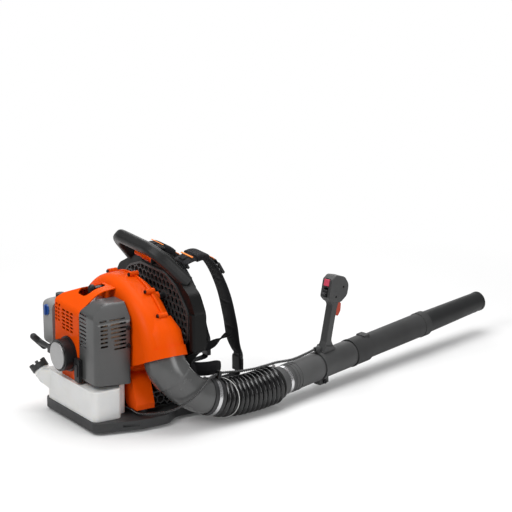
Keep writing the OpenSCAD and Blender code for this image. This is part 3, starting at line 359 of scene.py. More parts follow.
def tank_material(name):
    """Milky polyethylene that lets some light through."""
    made, tree, shader, place = new_material(name)
    slow = noise(tree, place, 12, 3)
    tone = mix_colour(tree, remap(tree, slow, 0.3, 0.7, 0, 1),
                      (0.76, 0.75, 0.72), (0.84, 0.83, 0.80))
    link(tree, tone, shader.inputs["Base Color"])
    link(tree, bump(tree, noise(tree, place, 260, 3), 0.12, 0.0003), shader.inputs["Normal"])
    link(tree, remap(tree, noise(tree, place, 20, 3), 0.3, 0.7, 0.38, 0.5),
         shader.inputs["Roughness"])
    shader.inputs["Subsurface Weight"].default_value = 0.5
    shader.inputs["Subsurface Radius"].default_value = (0.02, 0.018, 0.015)
    shader.inputs["Subsurface Scale"].default_value = 0.6
    return made


def nylon(name, colour, rough, strength=0.3, shine=0.5):
    """Glass-filled nylon of the frame, the tubes and the covers."""
    return moulded(name, colour, rough, grain=1500, strength=strength, shine=shine)


# One finish for each slot of the record
materials = {
    "orange_plastic": moulded("orange_nylon", (0.80, 0.080, 0.0008), 0.42, grain=700,
                              strength=0.10, vary=0.04, shine=0.08),
    "dark_plastic": nylon("dark_nylon", (0.036, 0.037, 0.038), 0.5, 0.35, 0.4),
    "grey_plastic": nylon("grey_nylon", (0.060, 0.061, 0.061), 0.32, 0.2, 0.75),
    "black_plastic": moulded("black_nylon", (0.011, 0.011, 0.012), 0.42, strength=0.3, shine=0.35),
    "rubber": rubber("black_rubber", (0.012, 0.012, 0.013), 0.42),
    "bare_metal": metal("cast_metal", (0.62, 0.63, 0.65), 0.38),
    "black_screws": metal("black_steel", (0.035, 0.035, 0.037), 0.4),
    "muffler_metal": metal("heated_steel", (0.33, 0.24, 0.17), 0.45, (1, 1, 6), 90),
    "ceramic": moulded("glazed_ceramic", (0.8, 0.79, 0.76), 0.15, strength=0.05),
    "tank_plastic": tank_material("milky_tank"),
    "blue_plastic": moulded("blue_nylon", (0.012, 0.07, 0.30), 0.35, strength=0.2),
    "red_plastic": moulded("red_switch", (0.62, 0.07, 0.12), 0.35, strength=0.1, vary=0.05),
    "trigger_red": moulded("trigger_nylon", (0.50, 0.045, 0.012), 0.42, strength=0.2),
    "pad_fabric": woven("pad_cloth", (0.0085, 0.0085, 0.0098), 0.0016, sheen=0.12),
    "web_fabric": woven("webbing_cloth", (0.006, 0.006, 0.007), 0.0022, 0.9, 0.05),
}
# Finishes of single nodes and pieces that differ from their slot's
STARTER_AXIS = (0, 0.027, 0.178)
disc_finish = disc_metal("turned_disc", (0.38, 0.38, 0.38), STARTER_AXIS)
frame_nylon = nylon("frame_nylon", (0.0065, 0.0066, 0.0067), 0.42, 0.35, 0.15)
handle_nylon = nylon("handle_nylon", (0.0155, 0.0157, 0.016), 0.42, 0.35, 0.3)
grille_nylon = nylon("grille_nylon", (0.05, 0.0505, 0.051), 0.45)
tube_nylon = nylon("tube_nylon", (0.084, 0.0845, 0.085), 0.50, 0.25, 0.2)
far_tube_nylon = nylon("far_tube_nylon", (0.046, 0.0463, 0.0467), 0.50, 0.25, 0.15)
# The bracket and the grips take lighter copies of the dark nylon: painted light, for the light
# that falls on them at their angle.
bracket_painted_light = nylon("bracket_painted_light", (0.054, 0.0545, 0.055), 0.48, 0.3, 0.4)
grip_painted_light = nylon("grip_painted_light", (0.045, 0.0455, 0.046), 0.48, 0.35, 0.45)
nozzle_nylon = nylon("nozzle_nylon", (0.020, 0.0205, 0.021), 0.45, 0.25, 0.3)
filter_nylon = nylon("filter_cover_nylon", (0.28, 0.28, 0.278), 0.45)
elbow_nylon = nylon("elbow_nylon", (0.082, 0.083, 0.083), 0.24, 0.15, 0.6)
hose_rubber = rubber("hose_rubber", (0.005, 0.005, 0.0055), 0.2, 0.6)
cable_rubber = rubber("cable_rubber", (0.008, 0.008, 0.0085), 0.22, 0.7)
orange_web = woven("orange_web", (0.75, 0.16, 0.03), 0.0018, sheen=0.1)
clamp_steel = metal("clamp_steel", (0.66, 0.66, 0.67), 0.26, scale=500, strength=0.1)
wire_finish = moulded("wire_sleeve", (0.55, 0.55, 0.54), 0.35, strength=0.05)


# ---------- CAD nodes: finish and rounded edges ----------
WELD_GAP = 0.00002
FLAT_ANGLE, SHARP_ANGLE = math.radians(0.6), math.radians(32)


def dress(name, material, width):
    """Gives a CAD node its finish, and rounds its sharp edges to a width."""
    obj = nodes[name]
    obj.data.materials.clear()
    obj.data.materials.append(material)
    if width:
        if "custom_normal" in obj.data.attributes:
            obj.data.attributes.remove(obj.data.attributes["custom_normal"])
        weld = obj.modifiers.new("weld", "WELD")
        weld.merge_threshold = WELD_GAP
        flat = obj.modifiers.new("flat", "DECIMATE")
        flat.decimate_type = "DISSOLVE"
        flat.angle_limit = FLAT_ANGLE
        edge = obj.modifiers.new("edge", "BEVEL")
        edge.width = width
        edge.segments = 2
        edge.limit_method = "ANGLE"
        edge.angle_limit = SHARP_ANGLE
        edge.harden_normals = True
        shade_smooth(obj.data)


# How far sharp edges are rounded, in general and by node
EDGE = 0.0006
edge_width = {
    "base_plate": 0.002, "back_frame": 0.003, "carry_handle": 0.0, "intake_grille": 0.0,
    "fan_housing_rear": 0.0008, "fan_housing_front": 0.0008, "engine_cover": 0.0010,
    "muffler_cover": 0.0012, "air_filter_cover": 0.002, "starter_housing": 0.0015,
    "starter_disc": 0.001, "starter_rope": 0.0, "connector_box": 0.001, "plug_boot": 0.0015,
    "engine_cylinder": 0.0004, "fuel_tank": 0.005, "fuel_cap": 0.0008, "release_lever": 0.0012,
    "blower_tube": 0.0005, "nozzle": 0.0005, "handle_bracket": 0.0008, "grip_left": 0.0025,
    "grip_right": 0.0025, "throttle_trigger": 0.001, "stop_switch": 0.0012,
    "strap_buckles": 0.0012, "housing_screws": 0.0004, "cover_screws": 0.0005,
    "bracket_screw": 0.0005}
special = {
    "starter_disc": disc_finish, "hose_clamp_rear": clamp_steel, "hose_clamp_front": clamp_steel,
    "back_frame": frame_nylon, "carry_handle": handle_nylon, "intake_grille": grille_nylon,
    "middle_tube": far_tube_nylon, "blower_tube": tube_nylon, "hose_cuff_front": tube_nylon,
    "handle_bracket": bracket_painted_light, "grip_left": grip_painted_light, "grip_right": grip_painted_light,
    "nozzle": nozzle_nylon, "air_filter_cover": filter_nylon}
for name in nodes:
    dress(name, special.get(name, materials[node_slot[name]]), edge_width.get(name, EDGE))


# ---------- throttle cable ----------
CABLE_R, CABLE_VALLEY = 0.0038, 0.0014  # radius over the ribs, and how deep they go
CABLE_RIB, CABLE_STEPS, CABLE_SIDES = 0.006, 6, 14  # distance of the ribs, points on each
# Ends of the hose's curve, the clip on the elbow and where the cable leaves the hose
hose_from = mm(146, -193, 68)
hose_to = mm(380, -156, 59)
clip_at = hose_from + mm(18, 1, 59)
hose_end = hose_to + mm(-76, -20, 58)
# The same points as in the CAD source
routes = {
    "cable_engine": [
        mm(-68.7, 90, 257), mm(-58, 91, 250), mm(-51.5, 92, 226), mm(-51.5, 92, 130),
        mm(-51.5, 84, 66), mm(-51.5, 50, 48), mm(-52, -100, 46), mm(-44, -152, 44),
        mm(4, -205, 58), mm(34, -238, 82), mm(62, -248, 104), mm(90, -242, 121),
        mm(116, -223, 131), clip_at + mm(-15, -6, 1), clip_at + mm(-5, -2, 0.3),
        clip_at + mm(-0.5, -0.2, 0)],
    "cable_hose": [
        clip_at, clip_at + mm(5, 2, -0.3), clip_at + mm(15, 6, -1), clip_at + mm(74, 10, -8),
        hose_end + mm(-24, -6, 1), hose_end],
    "cable_tube": [
        hose_end + mm(0.4, 0.1, 0), hose_end + mm(24, 6, -1), hose_to + mm(-20, -6, 56),
        hose_to + mm(40, 10, 49), hose_to + mm(96, 27, 51), hose_to + mm(122, 34, 54),
        hose_to + mm(132, 37, 54)],
}


def conduit_radius(i):
    """Crests and valleys along the conduit."""
    return CABLE_R - CABLE_VALLEY * math.cos(math.pi * i / CABLE_STEPS) ** 2


def conduit(name):
    """Black corrugated conduit with round ribs, along one of the routes."""
    path = spaced(smooth(routes[name], 24), CABLE_RIB / CABLE_STEPS)
    made = tube(name + "_conduit", path, conduit_radius, CABLE_SIDES, cable_rubber)
    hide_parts(name)
    return made


conduits = {name: conduit(name) for name in routes}
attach(conduits["cable_engine"], "unit")


# ---------- ribbed hose ----------
def heading(yaw, pitch):
    """Direction with a yaw from +X and a pitch above the floor, in degrees."""
    y, p = math.radians(yaw), math.radians(pitch)
    return Vector((math.cos(p) * math.cos(y), math.cos(p) * math.sin(y), math.sin(p)))


HOSE_DIR, TUBE_DIR = heading(3.5, -16), heading(15.5, 2)
HOSE_PULL = 0.078  # how far each end's direction holds
HOSE_R, RIB, RIBS = 0.052, 0.0078, 13
RIB_STEPS, HOSE_SIDES = 40, 96
# Shares of the curve where the ribs start, the hose stops and starts bending, and the ribs end
HOSE_START, BEND_A, BEND_B, HOSE_END = 0.044, 0.36, 0.66, 0.85
hose_curve = [hose_from, hose_from + HOSE_DIR * HOSE_PULL,
              hose_to - TUBE_DIR * HOSE_PULL, hose_to]
hose_steps = RIBS * RIB_STEPS
hose_line = [bezier(hose_curve, HOSE_START + (HOSE_END - HOSE_START) * k / hose_steps)
             for k in range(hose_steps + 1)]
hose_axes = frames(hose_line, Vector((0, 1, 0.2)))


def hose_index(t):
    """Index in the hose's line of share t of its curve."""
    return round((t - HOSE_START) / (HOSE_END - HOSE_START) * hose_steps)


def hose_radius(i):
    """Round crests with narrow valleys between them."""
    return HOSE_R - RIB * (1 - math.sin(math.pi * (i / RIB_STEPS % 1)) ** 1.15)


def hose_part(name, first, last, node_name):
    """One stretch of the hose, between two shares of its curve."""
    i0, i1 = hose_index(first), hose_index(last)
    made = tube(name, hose_line[i0:i1 + 1], lambda i: hose_radius(i + i0), HOSE_SIDES,
                hose_rubber, closed=False, axes=hose_axes[i0:i1 + 1])
    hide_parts(node_name)
    return made


hose_parts = [hose_part("hose_ribs_rear", HOSE_START, BEND_A, "hose_rear"),
              hose_part("hose_ribs_middle", BEND_A, BEND_B, "hose_middle"),
              hose_part("hose_ribs_front", BEND_B, HOSE_END, "hose_front")]
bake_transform(hose_parts[0])
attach(hose_parts[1], "hose_mid")
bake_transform(hose_parts[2])
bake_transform(conduits["cable_hose"])
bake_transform(conduits["cable_tube"])


# ---------- starter rope ----------
# A straight cord across the CAD rope's box. On the unit the rope unwinds from the housing as the
# handle is pulled.
ROPE_STEPS, ROPE_SIDES = 60, 12
rope_low, rope_high = (Vector(corner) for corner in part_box("starter_rope"))
rope_middle = (rope_low + rope_high) / 2
rope_ends = [Vector((rope_middle.x, y, rope_middle.z)) for y in (rope_low.y, rope_high.y)]
rope_line = [rope_ends[0].lerp(rope_ends[1], k / ROPE_STEPS) for k in range(ROPE_STEPS + 1)]
rope = tube("starter_cord", rope_line, (rope_high.x - rope_low.x) / 2, ROPE_SIDES,
            materials["web_fabric"])
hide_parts("starter_rope")
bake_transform(rope)


# ---------- outlet elbow ----------
OUTLET_AT, OUTLET_TILT = mm(16, -166, 186), math.radians(23.5)
OUTLET_DIR = Vector((0, -math.sin(OUTLET_TILT), -math.cos(OUTLET_TILT)))
NECK_R, MOUTH_R = 0.0537, 0.046  # in the housing's duct, and at the hose
ELBOW_R, ELBOW_TAPER, ELBOW_STEP = 0.054, 0.008, 0.0028
NECK, SPOUT = 0.026, 0.034  # lengths of the straight ends
NECK_STEPS, BEND_STEPS, SPOUT_STEPS = 9, 90, 8
elbow_from = OUTLET_AT + OUTLET_DIR * 0.004
elbow_to = hose_from - HOSE_DIR * SPOUT
elbow_curve = [elbow_from, elbow_from + OUTLET_DIR * 0.040, elbow_to - HOSE_DIR * 0.044, elbow_to]


def elbow_radius(t):
    """Narrows along the bend, with one small step a third of the way along."""
    taper = ELBOW_TAPER * t ** 1.5
    step = ELBOW_STEP / (1 + math.exp(-(t - 0.36) / 0.006))
    return max(ELBOW_R - taper - step, MOUTH_R)


elbow_line = [elbow_from - OUTLET_DIR * NECK * (1 - k / NECK_STEPS) for k in range(NECK_STEPS)]
elbow_line += [bezier(elbow_curve, k / BEND_STEPS) for k in range(BEND_STEPS + 1)]
elbow_line += [elbow_to + HOSE_DIR * SPOUT * k / SPOUT_STEPS for k in range(1, SPOUT_STEPS + 1)]
elbow_r = [NECK_R] * NECK_STEPS
elbow_r += [elbow_radius(k / BEND_STEPS) for k in range(BEND_STEPS + 1)]
elbow_r += [MOUTH_R] * SPOUT_STEPS
elbow = tube("outlet_elbow_shell", elbow_line, lambda i: elbow_r[i], HOSE_SIDES, elbow_nylon,
             closed=False, axes=frames(elbow_line, Vector((0.2, 1, 0.4))))
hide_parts("outlet_elbow")
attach(elbow, "unit")


# ---------- antistatic wire ----------
WIRE_R, WIRE_GAP, WIRE_STEPS, WIRE_SIDES = 0.0011, 0.0008, 60, 10
WIRE_BACK, WIRE_REACH = 0.065, 0.13  # shares of the hose's curve


def wire_point(turn):
    """Place of the wire on the ribs, where turn runs from the top over the near side to below."""
    a = math.radians(turn)
    t = WIRE_BACK + WIRE_REACH * max(0.0, math.cos(a)) ** 0.6
    d = (bezier(hose_curve, t + 0.01) - bezier(hose_curve, t - 0.01)).normalized()
    side = d.cross(Vector((0, 0, 1))).normalized()
    out = side * math.cos(a) + side.cross(d) * math.sin(a)
    return bezier(hose_curve, t) + (HOSE_R + WIRE_GAP) * out


wire_line = [wire_point(100 - 200 * k / WIRE_STEPS) for k in range(WIRE_STEPS + 1)]
wire = tube("antistatic_wire", wire_line, WIRE_R, WIRE_SIDES, wire_finish)
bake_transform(wire)


# ---------- harness ----------
X, Y, Z = Vector((1, 0, 0)), Vector((0, 1, 0)), Vector((0, 0, 1))
HANDS = ((1, "left"), (-1, "right"))


def band_axes(line, across):
    """At each point: the direction, the way across a band, and the way out of its face."""
    headings = [heading_at(line, i) for i in range(len(line))]
    return [(d, across, across.cross(d).normalized()) for d in headings]


def section_band(name, line, across, section, material, twist=0.0):
    """Closed section of (across, height) points, carried along a line. A twist peaks halfway."""
    verts = []
    for i, (p, (_, a, n)) in enumerate(zip(line, band_axes(line, across))):
        turn = twist * math.sin(math.pi * i / (len(line) - 1)) ** 2
        wide = a * math.cos(turn) + n * math.sin(turn)
        high = n * math.cos(turn) - a * math.sin(turn)
        verts += [p + wide * w + high * h for w, h in section(i)]
    return mesh_object(name, verts, ring_faces(len(line), len(section(0))), material)


# Half section of a pad's rolled edge: shares of the half width, and heights
PAD_EDGE = [(1.0, 0.0), (0.985, 0.0017), (0.962, 0.0023), (0.94, 0.0020), (0.92, 0.0012)]
PAD_SHARES = (0.88, 0.8, 0.66, 0.45, 0.22, 0, -0.22, -0.45, -0.66, -0.8, -0.88)
SEW_T = PAD_EDGE[-1][1]  # half thickness where the pad is sewn flat
SEAM_R, SEAM_PULL = 0.0035, 0.38  # half width of a crosswise seam, and how far it pulls in
NARROW, FLAT, FLAT_RUN = 0.45, 0.35, 0.03  # shares left at the ends, and how far they reach in


def padded_band(name, line, across, width, thick, seam_every, taper=0.03):
    """Foam pad in cloth along a line: rolled edges, a stitched groove and crosswise seams."""
    run = [0.0]
    for a, b in zip(line, line[1:]):
        run.append(run[-1] + (b - a).length)

    def section(i):
        end = min(run[i], run[-1] - run[i])
        left = min(1.0, (run[-1] - run[i]) / taper)
        half = width / 2 * (NARROW + (1 - NARROW) * math.sqrt(1 - (1 - left) ** 2))
        plump = min(1.0, FLAT + end / FLAT_RUN)
        d = (run[i] + seam_every / 2) % seam_every - seam_every / 2
        plump *= 1 - SEAM_PULL * math.exp(-(d / SEAM_R) ** 2)
        top = [(u * half, h) for u, h in PAD_EDGE]
        for u in PAD_SHARES:
            swell = (1 - abs(u / PAD_EDGE[-1][0]) ** 3.2) * (thick / 2 - SEW_T) * plump
            top.append((u * half, SEW_T + swell))
        top += [(-u * half, h) for u, h in reversed(PAD_EDGE)]
        return top + [(w, -h) for w, h in reversed(top[1:-1])]

    made = section_band(name, line, across, section, materials["pad_fabric"])
    sub = made.modifiers.new("sub", "SUBSURF")
    sub.levels = sub.render_levels = 1
    return made


def flat_band(name, line, across, width, thick, material=None, lift=0.0, twist=0.0):
    """Woven webbing: a flat section with a slightly thicker selvedge."""
    half, t = width / 2, thick / 2
    edge = [(half, 0), (half - 0.0006, t * 1.1), (half - 0.002, t * 1.15),
            (half - 0.0032, t * 0.8)]
    shape = edge + [(0, t * 0.85)] + [(-w, h) for w, h in reversed(edge)]
    shape += [(w, -h) for w, h in reversed(shape[1:-1])]
    return section_band(name, line, across, lambda i: [(w, h + lift) for w, h in shape],
                        material or materials["web_fabric"], twist)


def in_xz(points, y):
    """Points in the upright plane at y, from (x, z) in millimetres."""
    return [mm(x, y, z) for x, z in points]


STRAP_Y, STRAP_W, STRAP_T = 82, 0.066, 0.014
WEB_W, WEB_T, WEB_SEWN_T = 0.025, 0.0024, 0.0022
STRAP_STEPS, WEB_STEPS = 16, 12
# (x, z) in millimetres: the shoulder straps from the frame down, then the lower and side webs
STRAP_POINTS = {
    "right": [(114, 409.3), (134, 416), (176, 420), (214, 380), (246, 310), (266, 230),
              (276, 170), (289, 132), (290, 118), (290, 107.3)],
    "left": [(114, 409.3), (138, 410), (172, 394), (206, 350), (238, 290), (262, 222),
             (276, 170), (289, 132), (290, 118), (290, 107.3)]}
LOWER_POINTS = [(290, 82.7), (284, 75), (240, 71), (180, 71), (150.3, 70)]
SIDE_POINTS = [(146.3, 162), (190, 164), (226, 174), (260, 189)]
strap_lines = {hand: smooth(in_xz(STRAP_POINTS[hand], side * STRAP_Y), STRAP_STEPS)
               for side, hand in HANDS}


def web_line(points, side):
    """Smooth line of a web on one side."""
    return smooth(in_xz(points, side * STRAP_Y), WEB_STEPS)


def add_strap(side, hand):
    """One side's shoulder pad, the webbing sewn under it, and the lower and side webs."""
    line = strap_lines[hand]
    pad = padded_band("shoulder_pad_" + hand, spaced(line, 0.003)[:-8], Y, STRAP_W, STRAP_T,
                      seam_every=0.075, taper=0.07)
    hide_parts("shoulder_strap_" + hand)
    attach(pad, "unit")
    top_web = flat_band("strap_web_" + hand, line[6:], Y, WEB_W, WEB_SEWN_T,
                        lift=-STRAP_T / 2 - 0.0006)
    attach(top_web, "unit")
    low = flat_band("lower_web_" + hand, web_line(LOWER_POINTS, side), Y, WEB_W, WEB_T)
    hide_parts("webbing")
    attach(low, "unit")
    across = flat_band("side_web_" + hand, web_line(SIDE_POINTS, side), Y, WEB_W, WEB_T,
                       twist=-side * math.radians(80))
    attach(across, "unit")


for side, hand in HANDS:
    add_strap(side, hand)


def blocks(name, parts, edge):
    """Moulded boxes in one mesh. A part is its centre and its three half axes."""
    verts, faces = [], []
    for centre, u, v, w in parts:
        first = len(verts)
        verts += [centre + a * u + b * v + c * w
                  for a in (-1, 1) for b in (-1, 1) for c in (-1, 1)]
        faces += [tuple(first + k for k in f) for f in ((0, 1, 3, 2), (4, 6, 7, 5), (0, 4, 5, 1),
                                                        (2, 3, 7, 6), (0, 2, 6, 4), (1, 5, 7, 3))]
    made = mesh_object(name, verts, faces, materials["black_plastic"])
    bevel = made.modifiers.new("bevel", "BEVEL")
    bevel.width, bevel.segments, bevel.harden_normals = edge, 3, True
    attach(made, "unit")


LOCK_HALF_W, LOCK_BAR_GAP = 0.0165, 0.0135  # half width of a ladder lock, and between its bars


def ladder_lock(name, line, i, lift):
    """Three bars between two cheeks and a pull tab, lying on a strap at point i of its line."""
    d, a, n = band_axes(line, Y)[i]
    at = line[i] + n * lift
    cheeks = [(at + a * LOCK_HALF_W * k, d * 0.017, a * 0.0028, n * 0.0036) for k in (-1, 1)]
    bars = [(at + d * LOCK_BAR_GAP * k + n * 0.001 * k, d * 0.0032, a * LOCK_HALF_W, n * 0.0026)
            for k in (-1, 0, 1)]
    tab = (at - d * 0.021 - n * 0.001, d * 0.0062, a * 0.012, n * 0.0016)
    blocks(name, cheeks + bars + [tab], 0.0011)


def clasp(name, at):
    """Side-release buckle that hangs at a strap's lower end: body, tongue and two prongs."""
    body = (at - Z * 0.003, Y * 0.0185, Z * 0.017, X * 0.0062)
    tongue = (at + Z * 0.017, Y * 0.0155, Z * 0.005, X * 0.0045)
    prongs = [(at - Z * 0.001 + Y * 0.0195 * k, Y * 0.003, Z * 0.010, X * 0.0048)
              for k in (-1, 1)]
    blocks(name, [body, tongue] + prongs, 0.0026)


KEEPER_SIDES = 40


def power(value, exponent):
    """A power that keeps the sign."""
    return math.copysign(abs(value) ** exponent, value)


def keeper(name, line, width, thick):
    """Elastic sleeve sewn round a strap, with a flat rounded section."""
    turns = [math.tau * k / KEEPER_SIDES for k in range(KEEPER_SIDES)]
    shape = [(power(math.cos(t), 0.25) * width / 2, power(math.sin(t), 0.7) * thick / 2)
             for t in turns]
    made = section_band(name, line, Y, lambda i: shape, materials["web_fabric"])
    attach(made, "unit")


# Places along a shoulder strap's line
KEEPER_FROM, KEEPER_TO, LOCK_PLACE, CLASP_PLACE = 22, 35, 50, -9
TAB_PLACES = (17, 38)
for _, hand in HANDS:
    line = strap_lines[hand]
    keeper("keeper_" + hand, line[KEEPER_FROM:KEEPER_TO], STRAP_W + 0.0035, STRAP_T + 0.005)
    for i in TAB_PLACES:
        tab = flat_band("tab_%d_%s" % (i, hand), line[i:i + 3], Y, 0.058, 0.002, orange_web,
                        lift=-STRAP_T / 2 - 0.0018)
        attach(tab, "unit")
    ladder_lock("ladder_lock_" + hand, line, LOCK_PLACE, -STRAP_T / 2 - 0.0055)
    clasp("clasp_" + hand, line[CLASP_PLACE])


# ---------- cushions ----------
PAD_BACK = 0.1195  # X of the back frame's face
PAD_VOXEL, PAD_PRESSURE, CLOTH_FRAMES = 0.005, 4.0, 20
SEAM_DEPTH, SEAM_WIDTH = 0.008, 0.0045
PIPING_X, PIPING_GROWTH, PIPING_R = 0.1215, 1.012, 0.0023
# (y, z, radius) of one side's corners, in millimetres, from the bottom up
BACK_CORNERS = [(-113, 159, 28), (-142, 250, 60), (-134, 358, 38), (-88, 392, 38)]
HIP_CORNERS = [(-108, 64, 22), (-131, 104, 18), (-124, 146, 22)]
# (x, y) of the left hip wing
WING_POINTS, WING_Z = [(128, 112), (148, 128), (176, 136), (208, 130)], 125


def outline_points(corners, steps=8):
    """Outline through (y, z, radius) corners, each rounded by its radius, in millimetres."""
    out = []
    for i, (y, z, r) in enumerate(corners):
        a = Vector(corners[i - 1][:2]) - Vector((y, z))
        c = Vector(corners[(i + 1) % len(corners)][:2]) - Vector((y, z))
        a.normalize()
        c.normalize()
        half = a.angle(c) / 2
        mid = Vector((y, z)) + (a + c).normalized() * r / math.sin(half)
        s = Vector((y, z)) + a * r / math.tan(half) - mid
        e = Vector((y, z)) + c * r / math.tan(half) - mid
        turn = math.atan2(s.x * e.y - s.y * e.x, s.dot(e))
        start = math.atan2(s.y, s.x)
        for k in range(steps + 1):
            t = start + turn * k / steps
            out.append(mid + r * Vector((math.cos(t), math.sin(t))))
    return out


def mirrored(half):
    """Corners of both sides, from those of the side at negative Y."""
    return half + [(-y, z, r) for y, z, r in reversed(half)]


def slab(name, points, x0, x1):
    """Flat cloth body between two X planes, from an outline of (y, z) points in millimetres."""
    count = len(points)
    verts = [Vector((x0, p.x / 1000, p.y / 1000)) for p in points]
    verts += [Vector((x1, p.x / 1000, p.y / 1000)) for p in points]
    faces = [tuple(range(count))[::-1], tuple(range(count, 2 * count))]
    faces += [(k, (k + 1) % count, count + (k + 1) % count, count + k) for k in range(count)]
    return mesh_object(name, verts, faces, materials["pad_fabric"])


def swollen(obj, cap, fixed):
    """Blows the closed mesh up like a cushion, by cap at most. fixed says which points stay."""
    remesh = obj.modifiers.new("remesh", "REMESH")
    remesh.mode = "VOXEL"
    remesh.voxel_size = PAD_VOXEL
    graph = bpy.context.evaluated_depsgraph_get()
    mesh = bpy.data.meshes.new_from_object(obj.evaluated_get(graph))
    obj.modifiers.clear()
    obj.data = mesh
    rest = [v.co.copy() for v in mesh.vertices]
    group = obj.vertex_groups.new(name="pin")
    held = [i for i, p in enumerate(rest) if fixed(p)]
    group.add(held, 1.0, "REPLACE")
    cloth = obj.modifiers.new("cloth", "CLOTH")
    cloth.settings.use_pressure = True
    cloth.settings.uniform_pressure_force = PAD_PRESSURE
    cloth.settings.effector_weights.gravity = 0
    cloth.settings.vertex_group_mass = "pin"
    cloth.settings.quality = 5
    for moment in range(1, CLOTH_FRAMES + 1):
        scene.frame_set(moment)
    graph = bpy.context.evaluated_depsgraph_get()
    moved = [v.co.copy() for v in obj.evaluated_get(graph).to_mesh().vertices]
    obj.modifiers.clear()
    scene.frame_set(1)
    for v, a, b in zip(mesh.vertices, rest, moved):
        step = b - a
        v.co = a + step * min(1.0, cap / max(step.length, 1e-9))


def sewn(obj, seams, front):
    """Pulls the front face in along seams, which are functions of a point giving its distance."""
    for v in obj.data.vertices:
        if v.co.x > front:
            pull = max(math.exp(-(seam(v.co) / SEAM_WIDTH) ** 2) for seam in seams)
            v.co.x -= SEAM_DEPTH * pull * min(1.0, (v.co.x - front) / 0.006)


def cushion(name, node_name, corners, front, cap, seams):
    """Sewn cushion on the back frame, in the place of a CAD pad. front is its face's X."""
    made = slab(name, outline_points(mirrored(corners)), PAD_BACK, front)
    swollen(made, cap, lambda p: p.x < PAD_BACK + 0.0015)
    sewn(made, seams, front - 0.007)
    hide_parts(node_name)
    shade_smooth(made.data)
    sub = made.modifiers.new("sub", "SUBSURF")
    sub.levels = sub.render_levels = 1
    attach(made, "unit")


def piping(name, corners):
    """Corded seam round a cushion's back edge."""
    points = outline_points(mirrored(corners), 10)
    middle = sum(points, Vector((0, 0))) / len(points)
    ring = [Vector((PIPING_X, *((p - middle) * PIPING_GROWTH + middle) / 1000)) for p in points]
    made = tube(name, ring + ring[:1], PIPING_R, 10, materials["web_fabric"],
                closed=False)
    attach(made, "unit")


# Two slanted seams that widen upwards, and two level ones
cushion("back_cushion", "back_pad", BACK_CORNERS, 0.139, 0.008,
        [lambda p: abs(abs(p.y) - 0.046 - 0.02 * (p.z - 0.27)), lambda p: abs(p.z - 0.215),
         lambda p: abs(p.z - 0.335)])
cushion("hip_cushion", "hip_pad", HIP_CORNERS, 0.143, 0.007, [lambda p: abs(abs(p.y) - 0.05)])
for side, hand in HANDS:
    wing_line = smooth([mm(x, side * y, WING_Z) for x, y in WING_POINTS], 12)
    wing = padded_band("hip_wing_" + hand, wing_line, Z, 0.038, 0.012, seam_every=0.2)
    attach(wing, "unit")
piping("back_piping", BACK_CORNERS)
piping("hip_piping", HIP_CORNERS)


# ---------- floor, light, background ----------
FLOOR_HALF, FLOOR_GREY = 30, 0.78
FLOOR_CENTRE, SHADED_TO, WHITE_FROM = (0.3, -0.1, 0), 0.75, 1.6
FLOOR_LIFT, WORLD_FILL = 0.05, 0.26
# Name, place, what it aims at, side of the square, watts
LAMPS = [("top", (0.5, 0.3, 2.3), (0.3, -0.05, 0.1), 1.8, 47),
         ("key", (-2.0, -0.6, 2.2), (0, 0, 0.25), 1.4, 44),
         ("side", (1.0, -2.6, 1.1), (0.4, -0.1, 0.1), 1.2, 22),
         ("rim", (1.6, 2.0, 1.5), (0.1, 0, 0.25), 1.4, 14)]


def ray_is(tree, *kinds):
    """1 for a ray of one of the kinds, 0 for any other."""
    rays = node(tree, "ShaderNodeLightPath")
    found = rays.outputs["Is %s Ray" % kinds[0]]
    for kind in kinds[1:]:
        either = node(tree, "ShaderNodeMath", operation="MAXIMUM")
        link(tree, found, either.inputs[0])
        link(tree, rays.outputs["Is %s Ray" % kind], either.inputs[1])
        found = either.outputs[0]
    return found


def glow(tree, amount):
    """White light of an amount that is an output."""
    made = node(tree, "ShaderNodeEmission")
    link(tree, amount, made.inputs["Strength"])
    return made.outputs[0]


def blended(tree, amount, a, b):
    """Shader a, going over to b as amount goes from 0 to 1."""
    made = node(tree, "ShaderNodeMixShader")
    for place, source in enumerate((amount, a, b)):
        link(tree, source, made.inputs[place])
    return made.outputs[0]


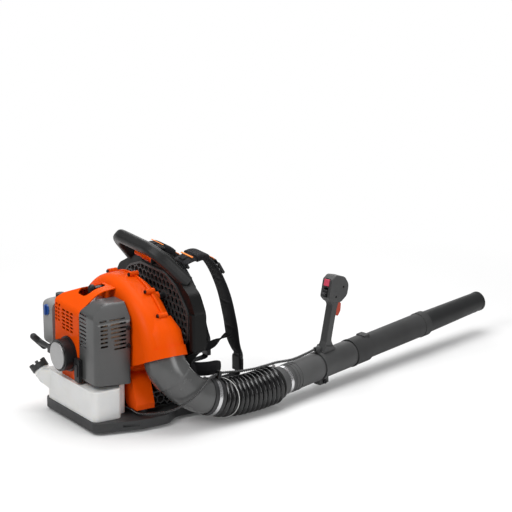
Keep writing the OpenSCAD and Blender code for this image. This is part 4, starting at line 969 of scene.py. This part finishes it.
def add_floor():
    """Pale floor that takes shadows near the object and goes over to white further out."""
    mesh = bpy.data.meshes.new("floor")
    far = FLOOR_HALF
    mesh.from_pydata([(-far, -far, 0), (far, -far, 0), (far, far, 0), (-far, far, 0)], [],
                     [(0, 1, 2, 3)])
    floor = bpy.data.objects.new("floor", mesh)
    scene.collection.objects.link(floor)
    made = bpy.data.materials.new("floor")
    made.use_nodes = True
    tree = made.node_tree
    tree.nodes.remove(tree.nodes["Principled BSDF"])
    diffuse = node(tree, "ShaderNodeBsdfDiffuse", Color=(FLOOR_GREY, FLOOR_GREY, FLOOR_GREY, 1))
    seen = ray_is(tree, "Camera", "Glossy", "Transmission")
    lift = node(tree, "ShaderNodeMath", operation="MULTIPLY")
    lift.inputs[1].default_value = FLOOR_LIFT
    link(tree, seen, lift.inputs[0])
    near = node(tree, "ShaderNodeAddShader")
    link(tree, diffuse.outputs[0], near.inputs[0])
    link(tree, glow(tree, lift.outputs[0]), near.inputs[1])
    away = node(tree, "ShaderNodeVectorMath", operation="DISTANCE")
    link(tree, node(tree, "ShaderNodeTexCoord").outputs["Object"], away.inputs[0])
    away.inputs[1].default_value = FLOOR_CENTRE
    edge = remap(tree, away.outputs["Value"], SHADED_TO, WHITE_FROM, 0.0, 1.0)
    link(tree, blended(tree, edge, near.outputs[0], glow(tree, seen)),
         tree.nodes["Material Output"].inputs["Surface"])
    mesh.materials.append(made)


def add_world():
    """Soft white fill all round, and a white background where the camera sees it."""
    world = bpy.data.worlds.new("studio")
    scene.world = world
    world.use_nodes = True
    tree = world.node_tree
    fill = tree.nodes["Background"]
    fill.inputs["Color"].default_value = (1, 1, 1, 1)
    fill.inputs["Strength"].default_value = WORLD_FILL
    white = node(tree, "ShaderNodeBackground")
    white.inputs["Strength"].default_value = 1.0
    link(tree, blended(tree, ray_is(tree, "Camera", "Transmission"), fill.outputs[0],
                       white.outputs[0]),
         tree.nodes["World Output"].inputs["Surface"])


def add_lamp(name, place, aim, size, watts):
    """Square area lamp at a place, turned towards its aim."""
    data = bpy.data.lights.new(name, "AREA")
    data.shape = "SQUARE"
    data.size = size
    data.energy = watts
    lamp = bpy.data.objects.new(name, data)
    scene.collection.objects.link(lamp)
    lamp.location = place
    lamp.rotation_mode = "QUATERNION"
    lamp.rotation_quaternion = (Vector(aim) - Vector(place)).to_track_quat("-Z", "Y")


add_floor()
add_world()
for lamp in LAMPS:
    add_lamp(*lamp)
scene.view_settings.view_transform = "Standard"
